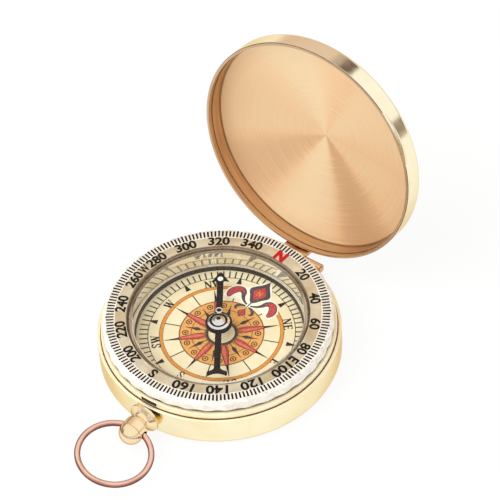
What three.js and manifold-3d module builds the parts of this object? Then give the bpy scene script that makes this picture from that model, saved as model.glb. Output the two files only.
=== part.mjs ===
// Pocket-watch pattern magnetic compass: brass case with a hinged lid, a push stem with a bow ring,
// a clear turning bezel and a needle in a glazed capsule. Millimetres, +Z up.
// The origin is the centre of the flat base. The hinge is at +Y and the stem at -Y.

import * as THREE from "three";
import { mergeVertices } from "three/addons/utils/BufferGeometryUtils.js";
import Module from "manifold-3d";

// Case
const CASE_DIAMETER = 50;
const CASE_DEPTH = 6.9;
const CASE_WALL = 2.0;
const BASE_THICKNESS = 1.0;
const BASE_FILLET = 1.4;
const SHOULDER_CHAMFER = 0.25;
const LIP_HEIGHT = 1.45;
const LIP_CHAMFER = 0.2;
const HOLDER_LEDGE = 0.4;

// Lid, drawn closed and then swung open about the hinge
const LID_WALL = 0.65;
const LID_SKIRT = 3.65;
const LID_CORNER = 0.35;
const LID_DOME_ANGLE = THREE.MathUtils.degToRad(16.4);
const LID_OPEN_ANGLE = THREE.MathUtils.degToRad(100.3);
const LID_GROOVE_DEPTH = 0.25;
const LID_GROOVE_WIDTH = 0.8;
const THUMB_LIP_REACH = 0.6;
const THUMB_LIP_CURVE = 14;
const THUMB_LIP_THICKNESS = 0.9;
const THUMB_LIP_BEARING = THREE.MathUtils.degToRad(-32.5);

// Hinge
const HINGE_OFFSET = 0.87;
const HINGE_DROP = 1.9;
const KNUCKLE_RADIUS = 1.0;
const LID_KNUCKLE_LENGTH = 8.0;
const CASE_KNUCKLE_LENGTH = 3.3;
const HINGE_PIN_RADIUS = 0.4;
const HINGE_PIN_HEAD_RADIUS = 0.65;
const HINGE_PIN_HEAD_LENGTH = 0.3;
const LUG_HEIGHT = 3.4;
const LUG_WIDTH = 5.6;
const LUG_THICKNESS = 0.9;

// Capsule that holds the dial and the needle
const HOLDER_THICKNESS = 0.6;
const CUP_FLANGE_WIDTH = 0.8;
const CUP_FLANGE_THICKNESS = 0.5;
const CUP_WALL = 0.5;
const CUP_FLOOR = 1.0;
const CUP_FLOOR_GAP = 0.9;
const DIAL_THICKNESS = 0.4;
const DIAL_DROP = 1.6;
const DIAL_SEAT_WIDTH = 1.4;
const DIAL_RING_WIDTH = 0.95;
const DIAL_RING_HEIGHT = 1.0;
const DIAL_RING_OVERLAP = 0.45;
const DIAL_RING_BEVEL = 0.25;
const COVER_WALL = 0.5;
const COVER_FLANGE_WIDTH = 0.5;
const WINDOW_THICKNESS = 0.75;
const WINDOW_BEVEL = 0.25;

// Clear turning bezel
const BEZEL_LID_GAP = 0.65;
const BEZEL_HEIGHT = 2.7;
const BEZEL_SHELF_HEIGHT = 1.75;
const BEZEL_FOOT_WIDTH = 2.6;
const BEZEL_FLANGE_THICKNESS = 2.4;
const BEZEL_CHAMFER_WIDTH = 0.7;
const BEZEL_CHAMFER_HEIGHT = 0.5;
const BEZEL_SCALLOPS = 36;
const BEZEL_SCALLOP_DEPTH = 0.35;
const WASHER_THICKNESS = 0.35;
const WASHER_WIDTH = 1.0;

// Needle and its pivot
const NEEDLE_BEARING = THREE.MathUtils.degToRad(124);
const NEEDLE_HEIGHT = 1.35;
const NEEDLE_THICKNESS = 0.3;
const NEEDLE_TIP = 13.7;
const NEEDLE_TIP_HALF_WIDTH = 0.28;
const NEEDLE_BARB = 11.4;
const NEEDLE_BARB_HALF_WIDTH = 1.8;
const NEEDLE_TAIL = 14.1;
const NEEDLE_TAIL_HOLLOW = 0.6;
const NEEDLE_TAIL_END = 1.1;
const NEEDLE_TAIL_HALF_WIDTH = 2.1;
const NEEDLE_SHAFT_WIDTH = 1.3;
const HUB_RADIUS = 2.75;
const HUB_BORE = 1.8;
const HUB_HEIGHT = 0.8;
const CAP_RISE = 1.35;
const CAP_FLANGE_WIDTH = 0.2;
const CAP_FLANGE_THICKNESS = 0.2;
const CAP_SKIRT = 0.4;
const CAP_POCKET_RADIUS = 0.55;
const CAP_ROOF = 0.5;
const CAP_DOME_RADIUS = 1.3;
const CAP_KNOB_RADIUS = 0.5;
const CAP_KNOB_EDGE = 0.15;
const DOT_RADIUS = 0.6;
const DOT_TOP_RADIUS = 0.45;
const DOT_THICKNESS = 0.15;
const DOT_PLACE = 11.87;
const PIVOT_FLANGE_RADIUS = 1.7;
const PIVOT_FLANGE_THICKNESS = 0.6;
const PIVOT_FLANGE_EDGE = 0.3;
const PIVOT_SHANK_RADIUS = 1.0;
const PIVOT_PIN_RADIUS = 0.3;
const PIVOT_PIN_INSET = 1.5;
const PIVOT_POINT_LENGTH = 0.8;

// Push stem, latch and bow ring
const STEM_DROP = 2.45;
const COLLAR_RADIUS = 3.3;
const COLLAR_LENGTH = 0.6;
const COLLAR_GAP = 0.6;
const NECK_RADIUS = 1.9;
const NECK_LENGTH = 1.55;
const NECK_GROOVE = 0.35;
const BALL_RADIUS = 2.5;
const BALL_BAND = 2.0;
const BALL_DOME = 2.5;
const BALL_ROUNDING = 0.7;
const ROD_RADIUS = 0.7;
const ROD_INSET = 1.2;
const BUSH_WALL = 0.65;
const BUSH_FLANGE_WIDTH = 0.6;
const BUSH_FLANGE_THICKNESS = 0.4;
const HOOK_THICKNESS = 0.6;
const HOOK_WIDTH = 3.4;
const HOOK_FOOT = 1.3;
const HOOK_NOSE_HEIGHT = 0.65;
const HOOK_NOSE_RISE = 0.45;
const SLOT_MARGIN = 0.15;
const SPRING_LENGTH = 1.9;
const SPRING_WIRE = 0.3;
const SPRING_CURLS = 2;
const SPRING_RADIUS = 1.2;
const RIVET_RADIUS = 1.1;
const RIVET_TOP_RADIUS = 0.75;
const RIVET_THICKNESS = 0.25;
const BOW_DIAMETER = 16.0;
const BOW_WIRE = 1.25;
const BOW_HOLE_DIAMETER = 2.2;
const BOW_SPLIT = 0.35;
const BOW_SHIFT = 0.4;
const BOW_DROOP = THREE.MathUtils.degToRad(0.3);
const BOW_ROLL = THREE.MathUtils.degToRad(8);

// Clearances
const FIT = 0.1;
const RUN = 0.1;
const SEAT = 0.05;
const LID_FIT = 0.2;
const LID_SEAT = 0.1;

// How far a cutter runs past what it cuts
const OVERCUT = 1;

// Facets of a full turn, steps of a curve and sides of a wire
const FINE = 60;
const MEDIUM = 40;
const COARSE = 20;
const SCALLOP_FACETS = 3;
const ROUNDING_STEPS = 3;
const CURVE_STEPS = 4;
const CURL_STEPS = 8;
const SPRING_SIDES = 5;
const BOW_SIDES = 8;

// Points nearer than this are one point
const MERGE_DISTANCE = 1e-5;

// Places that follow from the sizes above
const caseRadius = CASE_DIAMETER / 2;
const caseBore = caseRadius - CASE_WALL;
const lipBore = caseBore + HOLDER_LEDGE;
const lidBore = caseRadius - LID_WALL;
const lipRadius = lidBore - LID_FIT;
const shoulderZ = CASE_DEPTH;
const lipTopZ = shoulderZ + LIP_HEIGHT;
const hingeY = caseRadius + HINGE_OFFSET;
const hingeZ = shoulderZ - HINGE_DROP;
const pinBore = HINGE_PIN_RADIUS + FIT;

const dialTopZ = shoulderZ - DIAL_DROP;
const dialSeatZ = dialTopZ - DIAL_THICKNESS;
const dialRingTopZ = dialTopZ + DIAL_RING_HEIGHT;
const cupBottomZ = BASE_THICKNESS + CUP_FLOOR_GAP;
const cupFloorZ = cupBottomZ + CUP_FLOOR;
const holderTopZ = shoulderZ + HOLDER_THICKNESS;
const cupFlangeTopZ = holderTopZ + CUP_FLANGE_THICKNESS;
const washerTopZ = cupFlangeTopZ + WASHER_THICKNESS;
const bezelBottomZ = washerTopZ + FIT;
const bezelTopZ = bezelBottomZ + BEZEL_HEIGHT;
const bezelShelfZ = bezelBottomZ + BEZEL_SHELF_HEIGHT;
const windowBottomZ = bezelShelfZ + RUN;
const windowTopZ = windowBottomZ + WINDOW_THICKNESS;

const needleBottomZ = shoulderZ + NEEDLE_HEIGHT;
const needleTopZ = needleBottomZ + NEEDLE_THICKNESS;
const hubBottomZ = needleBottomZ + (NEEDLE_THICKNESS - HUB_HEIGHT) / 2;
const hubTopZ = hubBottomZ + HUB_HEIGHT;
const capTopZ = hubTopZ + CAP_RISE;
const capBottomZ = hubBottomZ - CAP_SKIRT;
const pivotTipZ = capTopZ - CAP_ROOF - FIT;
const pivotTopZ = dialTopZ + PIVOT_FLANGE_THICKNESS;

const stemZ = shoulderZ - STEM_DROP;
const collarY = -caseRadius - COLLAR_GAP;
const neckY = collarY - COLLAR_LENGTH - NECK_LENGTH;
const bandEndY = neckY - BALL_ROUNDING - BALL_BAND;
const bowHoleY = neckY - BALL_ROUNDING - BALL_BAND / 2;
const bushBore = ROD_RADIUS + RUN;
const bushRadius = bushBore + BUSH_WALL;
const bushFlangeY = -Math.sqrt(caseBore ** 2 - (bushRadius + BUSH_FLANGE_WIDTH) ** 2) + FIT;
const springStartY = bushFlangeY + BUSH_FLANGE_THICKNESS + SEAT;
const hookPlateY = springStartY + SPRING_LENGTH + SEAT;
const hookLegY = -caseBore + FIT + COLLAR_GAP;
const hookNoseZ = shoulderZ + HOOK_NOSE_RISE;
const hookTopZ = hookNoseZ + HOOK_NOSE_HEIGHT;
const slotHalfWidth = HOOK_WIDTH / 2 + SLOT_MARGIN;

// The capsule is as wide as the pushed-in latch leaves room for
const rivetY = hookPlateY + HOOK_THICKNESS + SEAT;
const cupRadius = -rivetY - RIVET_THICKNESS - COLLAR_GAP - FIT;
const cupFlangeRadius = cupRadius + CUP_FLANGE_WIDTH;
const cupBore = cupRadius - CUP_WALL;
const coverRadius = cupBore - FIT;
const coverBore = coverRadius - COVER_WALL;
const coverFlangeRadius = coverRadius + COVER_FLANGE_WIDTH;
const dialRingRadius = coverBore + DIAL_RING_OVERLAP - FIT;
const dialRingBore = dialRingRadius - DIAL_RING_WIDTH;
const dialRadius = dialRingBore + DIAL_RING_OVERLAP;
const bezelBore = coverRadius + RUN;
const bezelRadius = lidBore - BEZEL_LID_GAP;

const bowRadius = (BOW_DIAMETER - BOW_WIRE) / 2;
const bowSag = bowRadius - Math.sqrt(bowRadius ** 2 - BALL_RADIUS ** 2);

const wasm = await Module();
wasm.setup();

// A closed solid from a geometry: shared points merged, flat triangles dropped, faces turned outwards
function solid(geometry) {
  const bare = geometry.index ? geometry.toNonIndexed() : geometry.clone();
  bare.deleteAttribute("normal");
  bare.deleteAttribute("uv");
  const merged = mergeVertices(bare, MERGE_DISTANCE);
  const points = merged.attributes.position.array;
  const corners = merged.index.array;
  const triangles = [];
  let volume = 0;
  const a = new THREE.Vector3();
  const b = new THREE.Vector3();
  const c = new THREE.Vector3();
  for (let i = 0; i < corners.length; i += 3) {
    const [p, q, r] = [corners[i], corners[i + 1], corners[i + 2]];
    if (p === q || q === r || r === p) continue;
    triangles.push(p, q, r);
    a.fromArray(points, 3 * p);
    b.fromArray(points, 3 * q);
    c.fromArray(points, 3 * r);
    volume += a.dot(b.cross(c));
  }
  if (volume < 0) triangles.reverse();
  return new wasm.Manifold(
    new wasm.Mesh({
      numProp: 3,
      vertProperties: new Float32Array(points),
      triVerts: new Uint32Array(triangles),
    }),
  );
}

function geometryOf(body) {
  const mesh = body.getMesh();
  const geometry = new THREE.BufferGeometry();
  geometry.setAttribute("position", new THREE.BufferAttribute(mesh.vertProperties, 3));
  geometry.setIndex(new THREE.BufferAttribute(mesh.triVerts, 1));
  return geometry;
}

// A turned solid about Z from [radius, height] points, which start and end on the axis
function turned(points, facets) {
  const profile = points.map(([r, z]) => new THREE.Vector2(r, z));
  return new THREE.LatheGeometry(profile, facets).rotateX(Math.PI / 2);
}

// A turned ring about Z, whose profile closes on itself
function ring(points, facets) {
  return turned([...points, points[0]], facets);
}

// A straight ring of rectangular section
function washer(inner, outer, bottom, top, facets) {
  return ring([[inner, bottom], [outer, bottom], [outer, top], [inner, top]], facets);
}

// Points of an arc in [radius, height], from one angle to another
function arc(centre, radius, from, to, steps) {
  return Array.from({ length: steps + 1 }, (_, i) => {
    const angle = from + ((to - from) * i) / steps;
    return [centre[0] + radius * Math.cos(angle), centre[1] + radius * Math.sin(angle)];
  });
}

function cylinderAlongX(radius, length, facets) {
  return new THREE.CylinderGeometry(radius, radius, length, facets).rotateZ(Math.PI / 2);
}

// A turned solid about the stem's axis, from [radius, distance along +Y] points
function turnedOnStem(geometry) {
  return geometry.rotateX(-Math.PI / 2).translate(0, 0, stemZ);
}

function block(x0, x1, y0, y1, z0, z1) {
  return new THREE.BoxGeometry(x1 - x0, y1 - y0, z1 - z0).translate(
    (x0 + x1) / 2,
    (y0 + y1) / 2,
    (z0 + z1) / 2,
  );
}

const finishes = {
  brass: { color: 0xe2bd72, roughness: 0.22, metalness: 1 },
  copper: { color: 0xc98a74, roughness: 0.2, metalness: 1 },
  steel: { color: 0xb8babd, roughness: 0.3, metalness: 1 },
  clear: { color: 0xf4f1ea, roughness: 0.05, metalness: 0, transparent: true, opacity: 0.25 },
  card: { color: 0xf6e8bd, roughness: 0.6, metalness: 0 },
  black: { color: 0x141312, roughness: 0.35, metalness: 0 },
  nylon: { color: 0xa9a59c, roughness: 0.5, metalness: 0 },
  white: { color: 0xf2f4ea, roughness: 0.5, metalness: 0 },
};

function part(name, geometry, finish) {
  geometry.computeVertexNormals();
  const mesh = new THREE.Mesh(geometry, new THREE.MeshStandardMaterial(finishes[finish]));
  mesh.name = name;
  return mesh;
}

// Brass cup: flat base, ledge for the lid's rim, lip inside it, cut for stem, latch and hinge
function caseBody() {
  const cup = turned(
    [
      [0, 0],
      ...arc([caseRadius - BASE_FILLET, BASE_FILLET], BASE_FILLET, -Math.PI / 2, 0, ROUNDING_STEPS),
      [caseRadius, shoulderZ - SHOULDER_CHAMFER],
      [caseRadius - SHOULDER_CHAMFER, shoulderZ],
      [lipRadius, shoulderZ],
      [lipRadius, lipTopZ - LIP_CHAMFER],
      [lipRadius - LIP_CHAMFER, lipTopZ],
      [lipBore, lipTopZ],
      [lipBore, shoulderZ],
      [caseBore, shoulderZ],
      [caseBore, BASE_THICKNESS],
      [0, BASE_THICKNESS],
    ],
    FINE,
  );
  const stemHole = turnedOnStem(
    turned(
      [
        [0, -caseRadius - OVERCUT],
        [bushRadius + SEAT, -caseRadius - OVERCUT],
        [bushRadius + SEAT, -caseBore + OVERCUT],
        [0, -caseBore + OVERCUT],
      ],
      COARSE,
    ),
  );
  const latchSlot = block(
    -slotHalfWidth,
    slotHalfWidth,
    -caseRadius,
    -caseBore + OVERCUT,
    hookNoseZ - SLOT_MARGIN,
    hookTopZ + SLOT_MARGIN,
  );
  const knuckleRoom = cylinderAlongX(KNUCKLE_RADIUS + RUN, LID_KNUCKLE_LENGTH + 2 * RUN, COARSE)
    .translate(0, hingeY, hingeZ);
  return geometryOf(
    solid(cup).subtract(solid(stemHole)).subtract(solid(latchSlot)).subtract(solid(knuckleRoom)),
  );
}

// Domed lid in its closed place: skirt with a latch groove, rounded corner, shallow dome, thumb lip
function lidShell() {
  const rimZ = shoulderZ + LID_SEAT;
  const cornerZ = rimZ + LID_SKIRT;
  const cornerR = lidBore - LID_CORNER;
  const domeStart = Math.PI / 2 - LID_DOME_ANGLE;
  const domeCentreZ = cornerZ - cornerR / Math.tan(LID_DOME_ANGLE);
  const domeCentre = [0, domeCentreZ];
  const domeRadius = cornerR / Math.sin(LID_DOME_ANGLE) + LID_CORNER;
  const outside = [
    ...arc([cornerR, cornerZ], LID_CORNER + LID_WALL, 0, domeStart, CURVE_STEPS),
    ...arc(domeCentre, domeRadius + LID_WALL, domeStart, Math.PI / 2, ROUNDING_STEPS).slice(1, -1),
    [0, domeCentreZ + domeRadius + LID_WALL],
  ];
  const inside = [
    [0, domeCentreZ + domeRadius],
    ...arc(domeCentre, domeRadius, Math.PI / 2, domeStart, ROUNDING_STEPS).slice(1, -1),
    ...arc([cornerR, cornerZ], LID_CORNER, domeStart, 0, CURVE_STEPS),
  ];
  const shell = turned(
    [
      ...inside,
      [lidBore, hookNoseZ + LID_GROOVE_WIDTH + LID_GROOVE_DEPTH],
      [lidBore + LID_GROOVE_DEPTH, hookNoseZ + LID_GROOVE_WIDTH],
      [lidBore + LID_GROOVE_DEPTH, hookNoseZ],
      [lidBore, hookNoseZ],
      [lidBore, rimZ],
      [caseRadius, rimZ],
      ...outside,
    ],
    FINE,
  );
  const lipCentre = caseRadius + THUMB_LIP_REACH - THUMB_LIP_CURVE;
  const lipDisc = turned(
    [
      [0, rimZ],
      [THUMB_LIP_CURVE, rimZ],
      [THUMB_LIP_CURVE - THUMB_LIP_REACH, rimZ + THUMB_LIP_THICKNESS],
      [0, rimZ + THUMB_LIP_THICKNESS],
    ],
    COARSE,
  ).translate(
    lipCentre * Math.cos(THUMB_LIP_BEARING),
    lipCentre * Math.sin(THUMB_LIP_BEARING),
    0,
  );
  const skirtMiddle = caseRadius - LID_WALL / 2;
  const lipInside = plug(skirtMiddle, rimZ - OVERCUT, rimZ + THUMB_LIP_THICKNESS + OVERCUT);
  return geometryOf(solid(shell).add(solid(lipDisc).subtract(solid(lipInside))));
}

// A plain round plug used as a cutter
function plug(radius, bottom, top) {
  return turned([[0, bottom], [radius, bottom], [radius, top], [0, top]], FINE);
}

// Case-side knuckle: barrel on a web that reaches the case wall
function caseKnuckle(side) {
  const middle = side * (LID_KNUCKLE_LENGTH / 2 + RUN + CASE_KNUCKLE_LENGTH / 2);
  const half = CASE_KNUCKLE_LENGTH / 2;
  const web = solid(
    block(middle - half, middle + half, 0, hingeY, hingeZ - KNUCKLE_RADIUS, hingeZ),
  );
  const wall = solid(plug(caseRadius + SEAT, -OVERCUT, shoulderZ + OVERCUT));
  const bore = solid(
    cylinderAlongX(pinBore, CASE_KNUCKLE_LENGTH + 2 * RUN, COARSE).translate(middle, hingeY, hingeZ),
  );
  const tube = solid(
    cylinderAlongX(KNUCKLE_RADIUS, CASE_KNUCKLE_LENGTH, COARSE).translate(middle, hingeY, hingeZ),
  );
  return geometryOf(tube.add(web).subtract(wall).subtract(bore));
}

// Lid-side knuckle: barrel with a lug that runs up the outside of the closed lid's skirt
function lidKnuckle() {
  const lugTopZ = shoulderZ + LID_SEAT + LUG_HEIGHT;
  const lug = solid(
    block(-LUG_WIDTH / 2, LUG_WIDTH / 2, 0, caseRadius + LUG_THICKNESS, hingeZ, lugTopZ),
  );
  const room = solid(plug(caseRadius + SEAT, hingeZ - KNUCKLE_RADIUS, lugTopZ + OVERCUT));
  const bore = solid(
    cylinderAlongX(pinBore, LID_KNUCKLE_LENGTH + 2 * RUN, COARSE).translate(0, hingeY, hingeZ),
  );
  const tube = solid(cylinderAlongX(KNUCKLE_RADIUS, LID_KNUCKLE_LENGTH, COARSE).translate(0, hingeY, hingeZ));
  return geometryOf(lug.subtract(room).add(tube).subtract(bore));
}

// Pin through the knuckles, with a small peened head at each end
function hingePin() {
  const half = LID_KNUCKLE_LENGTH / 2 + RUN + CASE_KNUCKLE_LENGTH + SEAT;
  const end = half + HINGE_PIN_HEAD_LENGTH;
  const pin = turned(
    [
      [0, -end],
      [HINGE_PIN_RADIUS, -end],
      [HINGE_PIN_HEAD_RADIUS, -half],
      [HINGE_PIN_RADIUS, -half],
      [HINGE_PIN_RADIUS, half],
      [HINGE_PIN_HEAD_RADIUS, half],
      [HINGE_PIN_RADIUS, end],
      [0, end],
    ],
    COARSE,
  );
  return pin.rotateY(Math.PI / 2).translate(0, hingeY, hingeZ);
}

// Brass ring on the case's inner ledge that carries the capsule, notched for the latch
function capsuleHolder() {
  const flange = washer(cupRadius + FIT, lipBore - FIT, shoulderZ, holderTopZ, FINE);
  const notch = block(
    -slotHalfWidth - SLOT_MARGIN,
    slotHalfWidth + SLOT_MARGIN,
    -caseRadius,
    hookLegY + HOOK_THICKNESS + COLLAR_GAP,
    shoulderZ - OVERCUT,
    holderTopZ + OVERCUT,
  );
  return geometryOf(solid(flange).subtract(solid(notch)));
}

// Cup of the capsule: floor, seat for the dial, wall around the cover, flange on the holder
function capsuleCup() {
  const seatBore = dialRadius - DIAL_SEAT_WIDTH;
  return turned(
    [
      [0, cupBottomZ],
      [cupRadius, cupBottomZ],
      [cupRadius, holderTopZ],
      [cupFlangeRadius, holderTopZ],
      [cupFlangeRadius, cupFlangeTopZ],
      [cupBore, cupFlangeTopZ],
      [cupBore, dialSeatZ],
      [seatBore, dialSeatZ],
      [seatBore, cupFloorZ],
      [0, cupFloorZ],
    ],
    MEDIUM,
  );
}

function dialPlate() {
  return washer(PIVOT_SHANK_RADIUS + FIT, dialRadius, dialSeatZ, dialTopZ, FINE);
}

// Black ring that holds the dial's edge down, bevelled inwards
function dialRing() {
  return ring(
    [
      [dialRingBore, dialTopZ],
      [dialRingRadius, dialTopZ],
      [dialRingRadius, dialRingTopZ],
      [dialRingBore + DIAL_RING_BEVEL, dialRingTopZ],
      [dialRingBore, dialRingTopZ - DIAL_RING_BEVEL],
    ],
    MEDIUM,
  );
}

// Clear cover: wall standing on the dial ring, window and the flange that keeps the bezel on
function capsuleCover() {
  const foot = dialRingTopZ + SEAT;
  return turned(
    [
      [0, windowBottomZ],
      [coverBore, windowBottomZ],
      [coverBore, foot],
      [coverRadius, foot],
      [coverRadius, windowBottomZ],
      [coverFlangeRadius, windowBottomZ],
      [coverFlangeRadius, windowTopZ - WINDOW_BEVEL],
      [coverFlangeRadius - WINDOW_BEVEL, windowTopZ],
      [0, windowTopZ],
    ],
    MEDIUM,
  );
}

function bezelWasher() {
  return washer(bezelBore, bezelBore + WASHER_WIDTH, cupFlangeTopZ, washerTopZ, MEDIUM);
}

// Clear bezel: foot on the washer, shelf under the cover's flange, scalloped outer flange
function bezelRing() {
  const flangeZ = bezelTopZ - BEZEL_FLANGE_THICKNESS;
  const footRadius = bezelBore + BEZEL_FOOT_WIDTH;
  const mouth = coverFlangeRadius + RUN;
  const geometry = ring(
    [
      [bezelBore, bezelBottomZ],
      [footRadius, bezelBottomZ],
      [footRadius, flangeZ],
      [bezelRadius, flangeZ],
      [bezelRadius, bezelTopZ - BEZEL_CHAMFER_HEIGHT],
      [bezelRadius - BEZEL_CHAMFER_WIDTH, bezelTopZ],
      [mouth, bezelTopZ],
      [mouth, bezelShelfZ],
      [bezelBore, bezelShelfZ],
    ],
    BEZEL_SCALLOPS * SCALLOP_FACETS,
  );
  const position = geometry.attributes.position;
  for (let i = 0; i < position.count; i += 1) {
    const x = position.getX(i);
    const y = position.getY(i);
    const radius = Math.hypot(x, y);
    if (radius < bezelRadius - BEZEL_CHAMFER_WIDTH / 2) continue;
    const wave = (1 - Math.cos(BEZEL_SCALLOPS * Math.atan2(y, x))) / 2;
    const scale = (radius - BEZEL_SCALLOP_DEPTH * wave) / radius;
    position.setXY(i, x * scale, y * scale);
  }
  return geometryOf(solid(geometry));
}

// Brass post seat riveted through the dial, with a blind hole for the pin
function pivotSeat() {
  const hole = PIVOT_PIN_RADIUS + SEAT;
  return turned(
    [
      [0, cupFloorZ],
      [PIVOT_SHANK_RADIUS, cupFloorZ],
      [PIVOT_SHANK_RADIUS, dialTopZ],
      [PIVOT_FLANGE_RADIUS, dialTopZ],
      [PIVOT_FLANGE_RADIUS, dialTopZ + PIVOT_FLANGE_EDGE],
      [PIVOT_SHANK_RADIUS, pivotTopZ],
      [hole, pivotTopZ],
      [hole, pivotTopZ - PIVOT_PIN_INSET],
      [0, pivotTopZ - PIVOT_PIN_INSET],
    ],
    COARSE,
  );
}

function pivotPin() {
  return turned(
    [
      [0, pivotTopZ - PIVOT_PIN_INSET + SEAT],
      [PIVOT_PIN_RADIUS, pivotTopZ - PIVOT_PIN_INSET + SEAT],
      [PIVOT_PIN_RADIUS, pivotTipZ - PIVOT_POINT_LENGTH],
      [0, pivotTipZ],
    ],
    COARSE,
  );
}

// Flat needle outline along +X: spade point, straight shaft, hollowed tail; the hub is added to it
function needleBlade() {
  const half = NEEDLE_SHAFT_WIDTH / 2;
  const waist = (NEEDLE_TIP + NEEDLE_BARB) / 2;
  const flare = NEEDLE_TAIL - NEEDLE_TAIL_HALF_WIDTH;
  const outline = new THREE.Shape();
  outline.moveTo(NEEDLE_TIP, NEEDLE_TIP_HALF_WIDTH);
  outline.quadraticCurveTo(waist, half, NEEDLE_BARB, NEEDLE_BARB_HALF_WIDTH);
  outline.quadraticCurveTo(NEEDLE_BARB, half, NEEDLE_BARB - half, half);
  outline.lineTo(-flare, half);
  outline.quadraticCurveTo(
    -flare - half,
    half,
    -NEEDLE_TAIL + NEEDLE_TAIL_END,
    NEEDLE_TAIL_HALF_WIDTH,
  );
  outline.lineTo(-NEEDLE_TAIL, NEEDLE_TAIL_HALF_WIDTH);
  outline.quadraticCurveTo(
    -NEEDLE_TAIL + 2 * NEEDLE_TAIL_HOLLOW,
    0,
    -NEEDLE_TAIL,
    -NEEDLE_TAIL_HALF_WIDTH,
  );
  outline.lineTo(-NEEDLE_TAIL + NEEDLE_TAIL_END, -NEEDLE_TAIL_HALF_WIDTH);
  outline.quadraticCurveTo(-flare - half, -half, -flare, -half);
  outline.lineTo(NEEDLE_BARB - half, -half);
  outline.quadraticCurveTo(NEEDLE_BARB, -half, NEEDLE_BARB, -NEEDLE_BARB_HALF_WIDTH);
  outline.quadraticCurveTo(waist, -half, NEEDLE_TIP, -NEEDLE_TIP_HALF_WIDTH);
  outline.closePath();
  const blade = new THREE.ExtrudeGeometry(outline, {
    depth: NEEDLE_THICKNESS,
    bevelEnabled: false,
    curveSegments: CURVE_STEPS,
  }).translate(0, 0, needleBottomZ);
  const hub = washer(HUB_BORE, HUB_RADIUS, hubBottomZ, hubTopZ, COARSE);
  const bore = plug(HUB_BORE, hubBottomZ - OVERCUT, hubTopZ + OVERCUT);
  const needle = solid(blade).add(solid(hub)).subtract(solid(bore));
  return geometryOf(needle).rotateZ(NEEDLE_BEARING);
}

// Bearing cap in the hub, with the pocket that rides on the pivot point
function needleCap() {
  const body = HUB_BORE - SEAT;
  const flange = HUB_BORE + CAP_FLANGE_WIDTH;
  const flangeTopZ = hubTopZ + SEAT + CAP_FLANGE_THICKNESS;
  return turned(
    [
      [0, capTopZ - CAP_ROOF],
      [CAP_POCKET_RADIUS, capTopZ - CAP_ROOF - CAP_POCKET_RADIUS],
      [CAP_POCKET_RADIUS, capBottomZ],
      [CAP_POCKET_RADIUS + CAP_SKIRT, capBottomZ],
      [body, hubBottomZ],
      [body, hubTopZ + SEAT],
      [flange, hubTopZ + SEAT],
      [flange, flangeTopZ],
      ...arc([CAP_KNOB_RADIUS, flangeTopZ], CAP_DOME_RADIUS - CAP_KNOB_RADIUS, 0, Math.PI / 2, CURVE_STEPS),
      [CAP_KNOB_RADIUS, capTopZ - CAP_KNOB_EDGE],
      [CAP_KNOB_RADIUS - CAP_KNOB_EDGE, capTopZ],
      [0, capTopZ],
    ],
    COARSE,
  );
}

function needleDot() {
  const dot = turned(
    [
      [0, needleTopZ],
      [DOT_RADIUS, needleTopZ],
      [DOT_TOP_RADIUS, needleTopZ + DOT_THICKNESS],
      [0, needleTopZ + DOT_THICKNESS],
    ],
    COARSE,
  );
  return dot.translate(DOT_PLACE, 0, 0).rotateZ(NEEDLE_BEARING);
}

// Flanged bush through the case wall
function stemBush() {
  const outerEnd = -Math.sqrt(caseRadius ** 2 - bushRadius ** 2);
  return turnedOnStem(
    ring(
      [
        [bushBore, outerEnd],
        [bushRadius, outerEnd],
        [bushRadius, bushFlangeY],
        [bushRadius + BUSH_FLANGE_WIDTH, bushFlangeY],
        [bushRadius + BUSH_FLANGE_WIDTH, bushFlangeY + BUSH_FLANGE_THICKNESS],
        [bushBore, bushFlangeY + BUSH_FLANGE_THICKNESS],
      ],
      COARSE,
    ),
  );
}

// The bow's hole and ring turn about a line through the ball, rolled a little about the stem
function rollOnStem(geometry) {
  return geometry.translate(0, 0, -stemZ).rotateY(BOW_ROLL).translate(0, 0, stemZ);
}

// Turned stem: collar, hollow cone of the neck, banded ball, with the blind rod hole and the bow's hole
function crownKnob() {
  const collarEndY = collarY - COLLAR_LENGTH;
  const rodHole = ROD_RADIUS + SEAT;
  const shoulder = [BALL_RADIUS - BALL_ROUNDING, neckY - BALL_ROUNDING];
  const domeSteps = arc([0, 0], 1, 0, Math.PI / 2, CURVE_STEPS).map(([r, y]) => [
    BALL_RADIUS * r,
    bandEndY - BALL_DOME * y,
  ]);
  const knob = turned(
    [
      [0, bandEndY - BALL_DOME],
      ...domeSteps.reverse().slice(1),
      ...arc(shoulder, BALL_ROUNDING, 0, Math.PI / 2, ROUNDING_STEPS),
      [NECK_RADIUS, neckY],
      [NECK_RADIUS, neckY + NECK_GROOVE],
      [COLLAR_RADIUS, collarEndY],
      [COLLAR_RADIUS, collarY],
      [rodHole, collarY],
      [rodHole, collarY - ROD_INSET],
      [0, collarY - ROD_INSET],
    ],
    COARSE,
  );
  const hole = rollOnStem(
    cylinderAlongX(BOW_HOLE_DIAMETER / 2, 2 * (BALL_RADIUS + OVERCUT), COARSE)
      .translate(0, bowHoleY, stemZ),
  );
  return geometryOf(solid(turnedOnStem(knob)).subtract(solid(hole)));
}

function pushRod() {
  const end = hookPlateY + HOOK_THICKNESS;
  return turnedOnStem(
    turned(
      [
        [0, collarY - ROD_INSET + SEAT],
        [ROD_RADIUS, collarY - ROD_INSET + SEAT],
        [ROD_RADIUS, end],
        [0, end],
      ],
      COARSE,
    ),
  );
}

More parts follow.
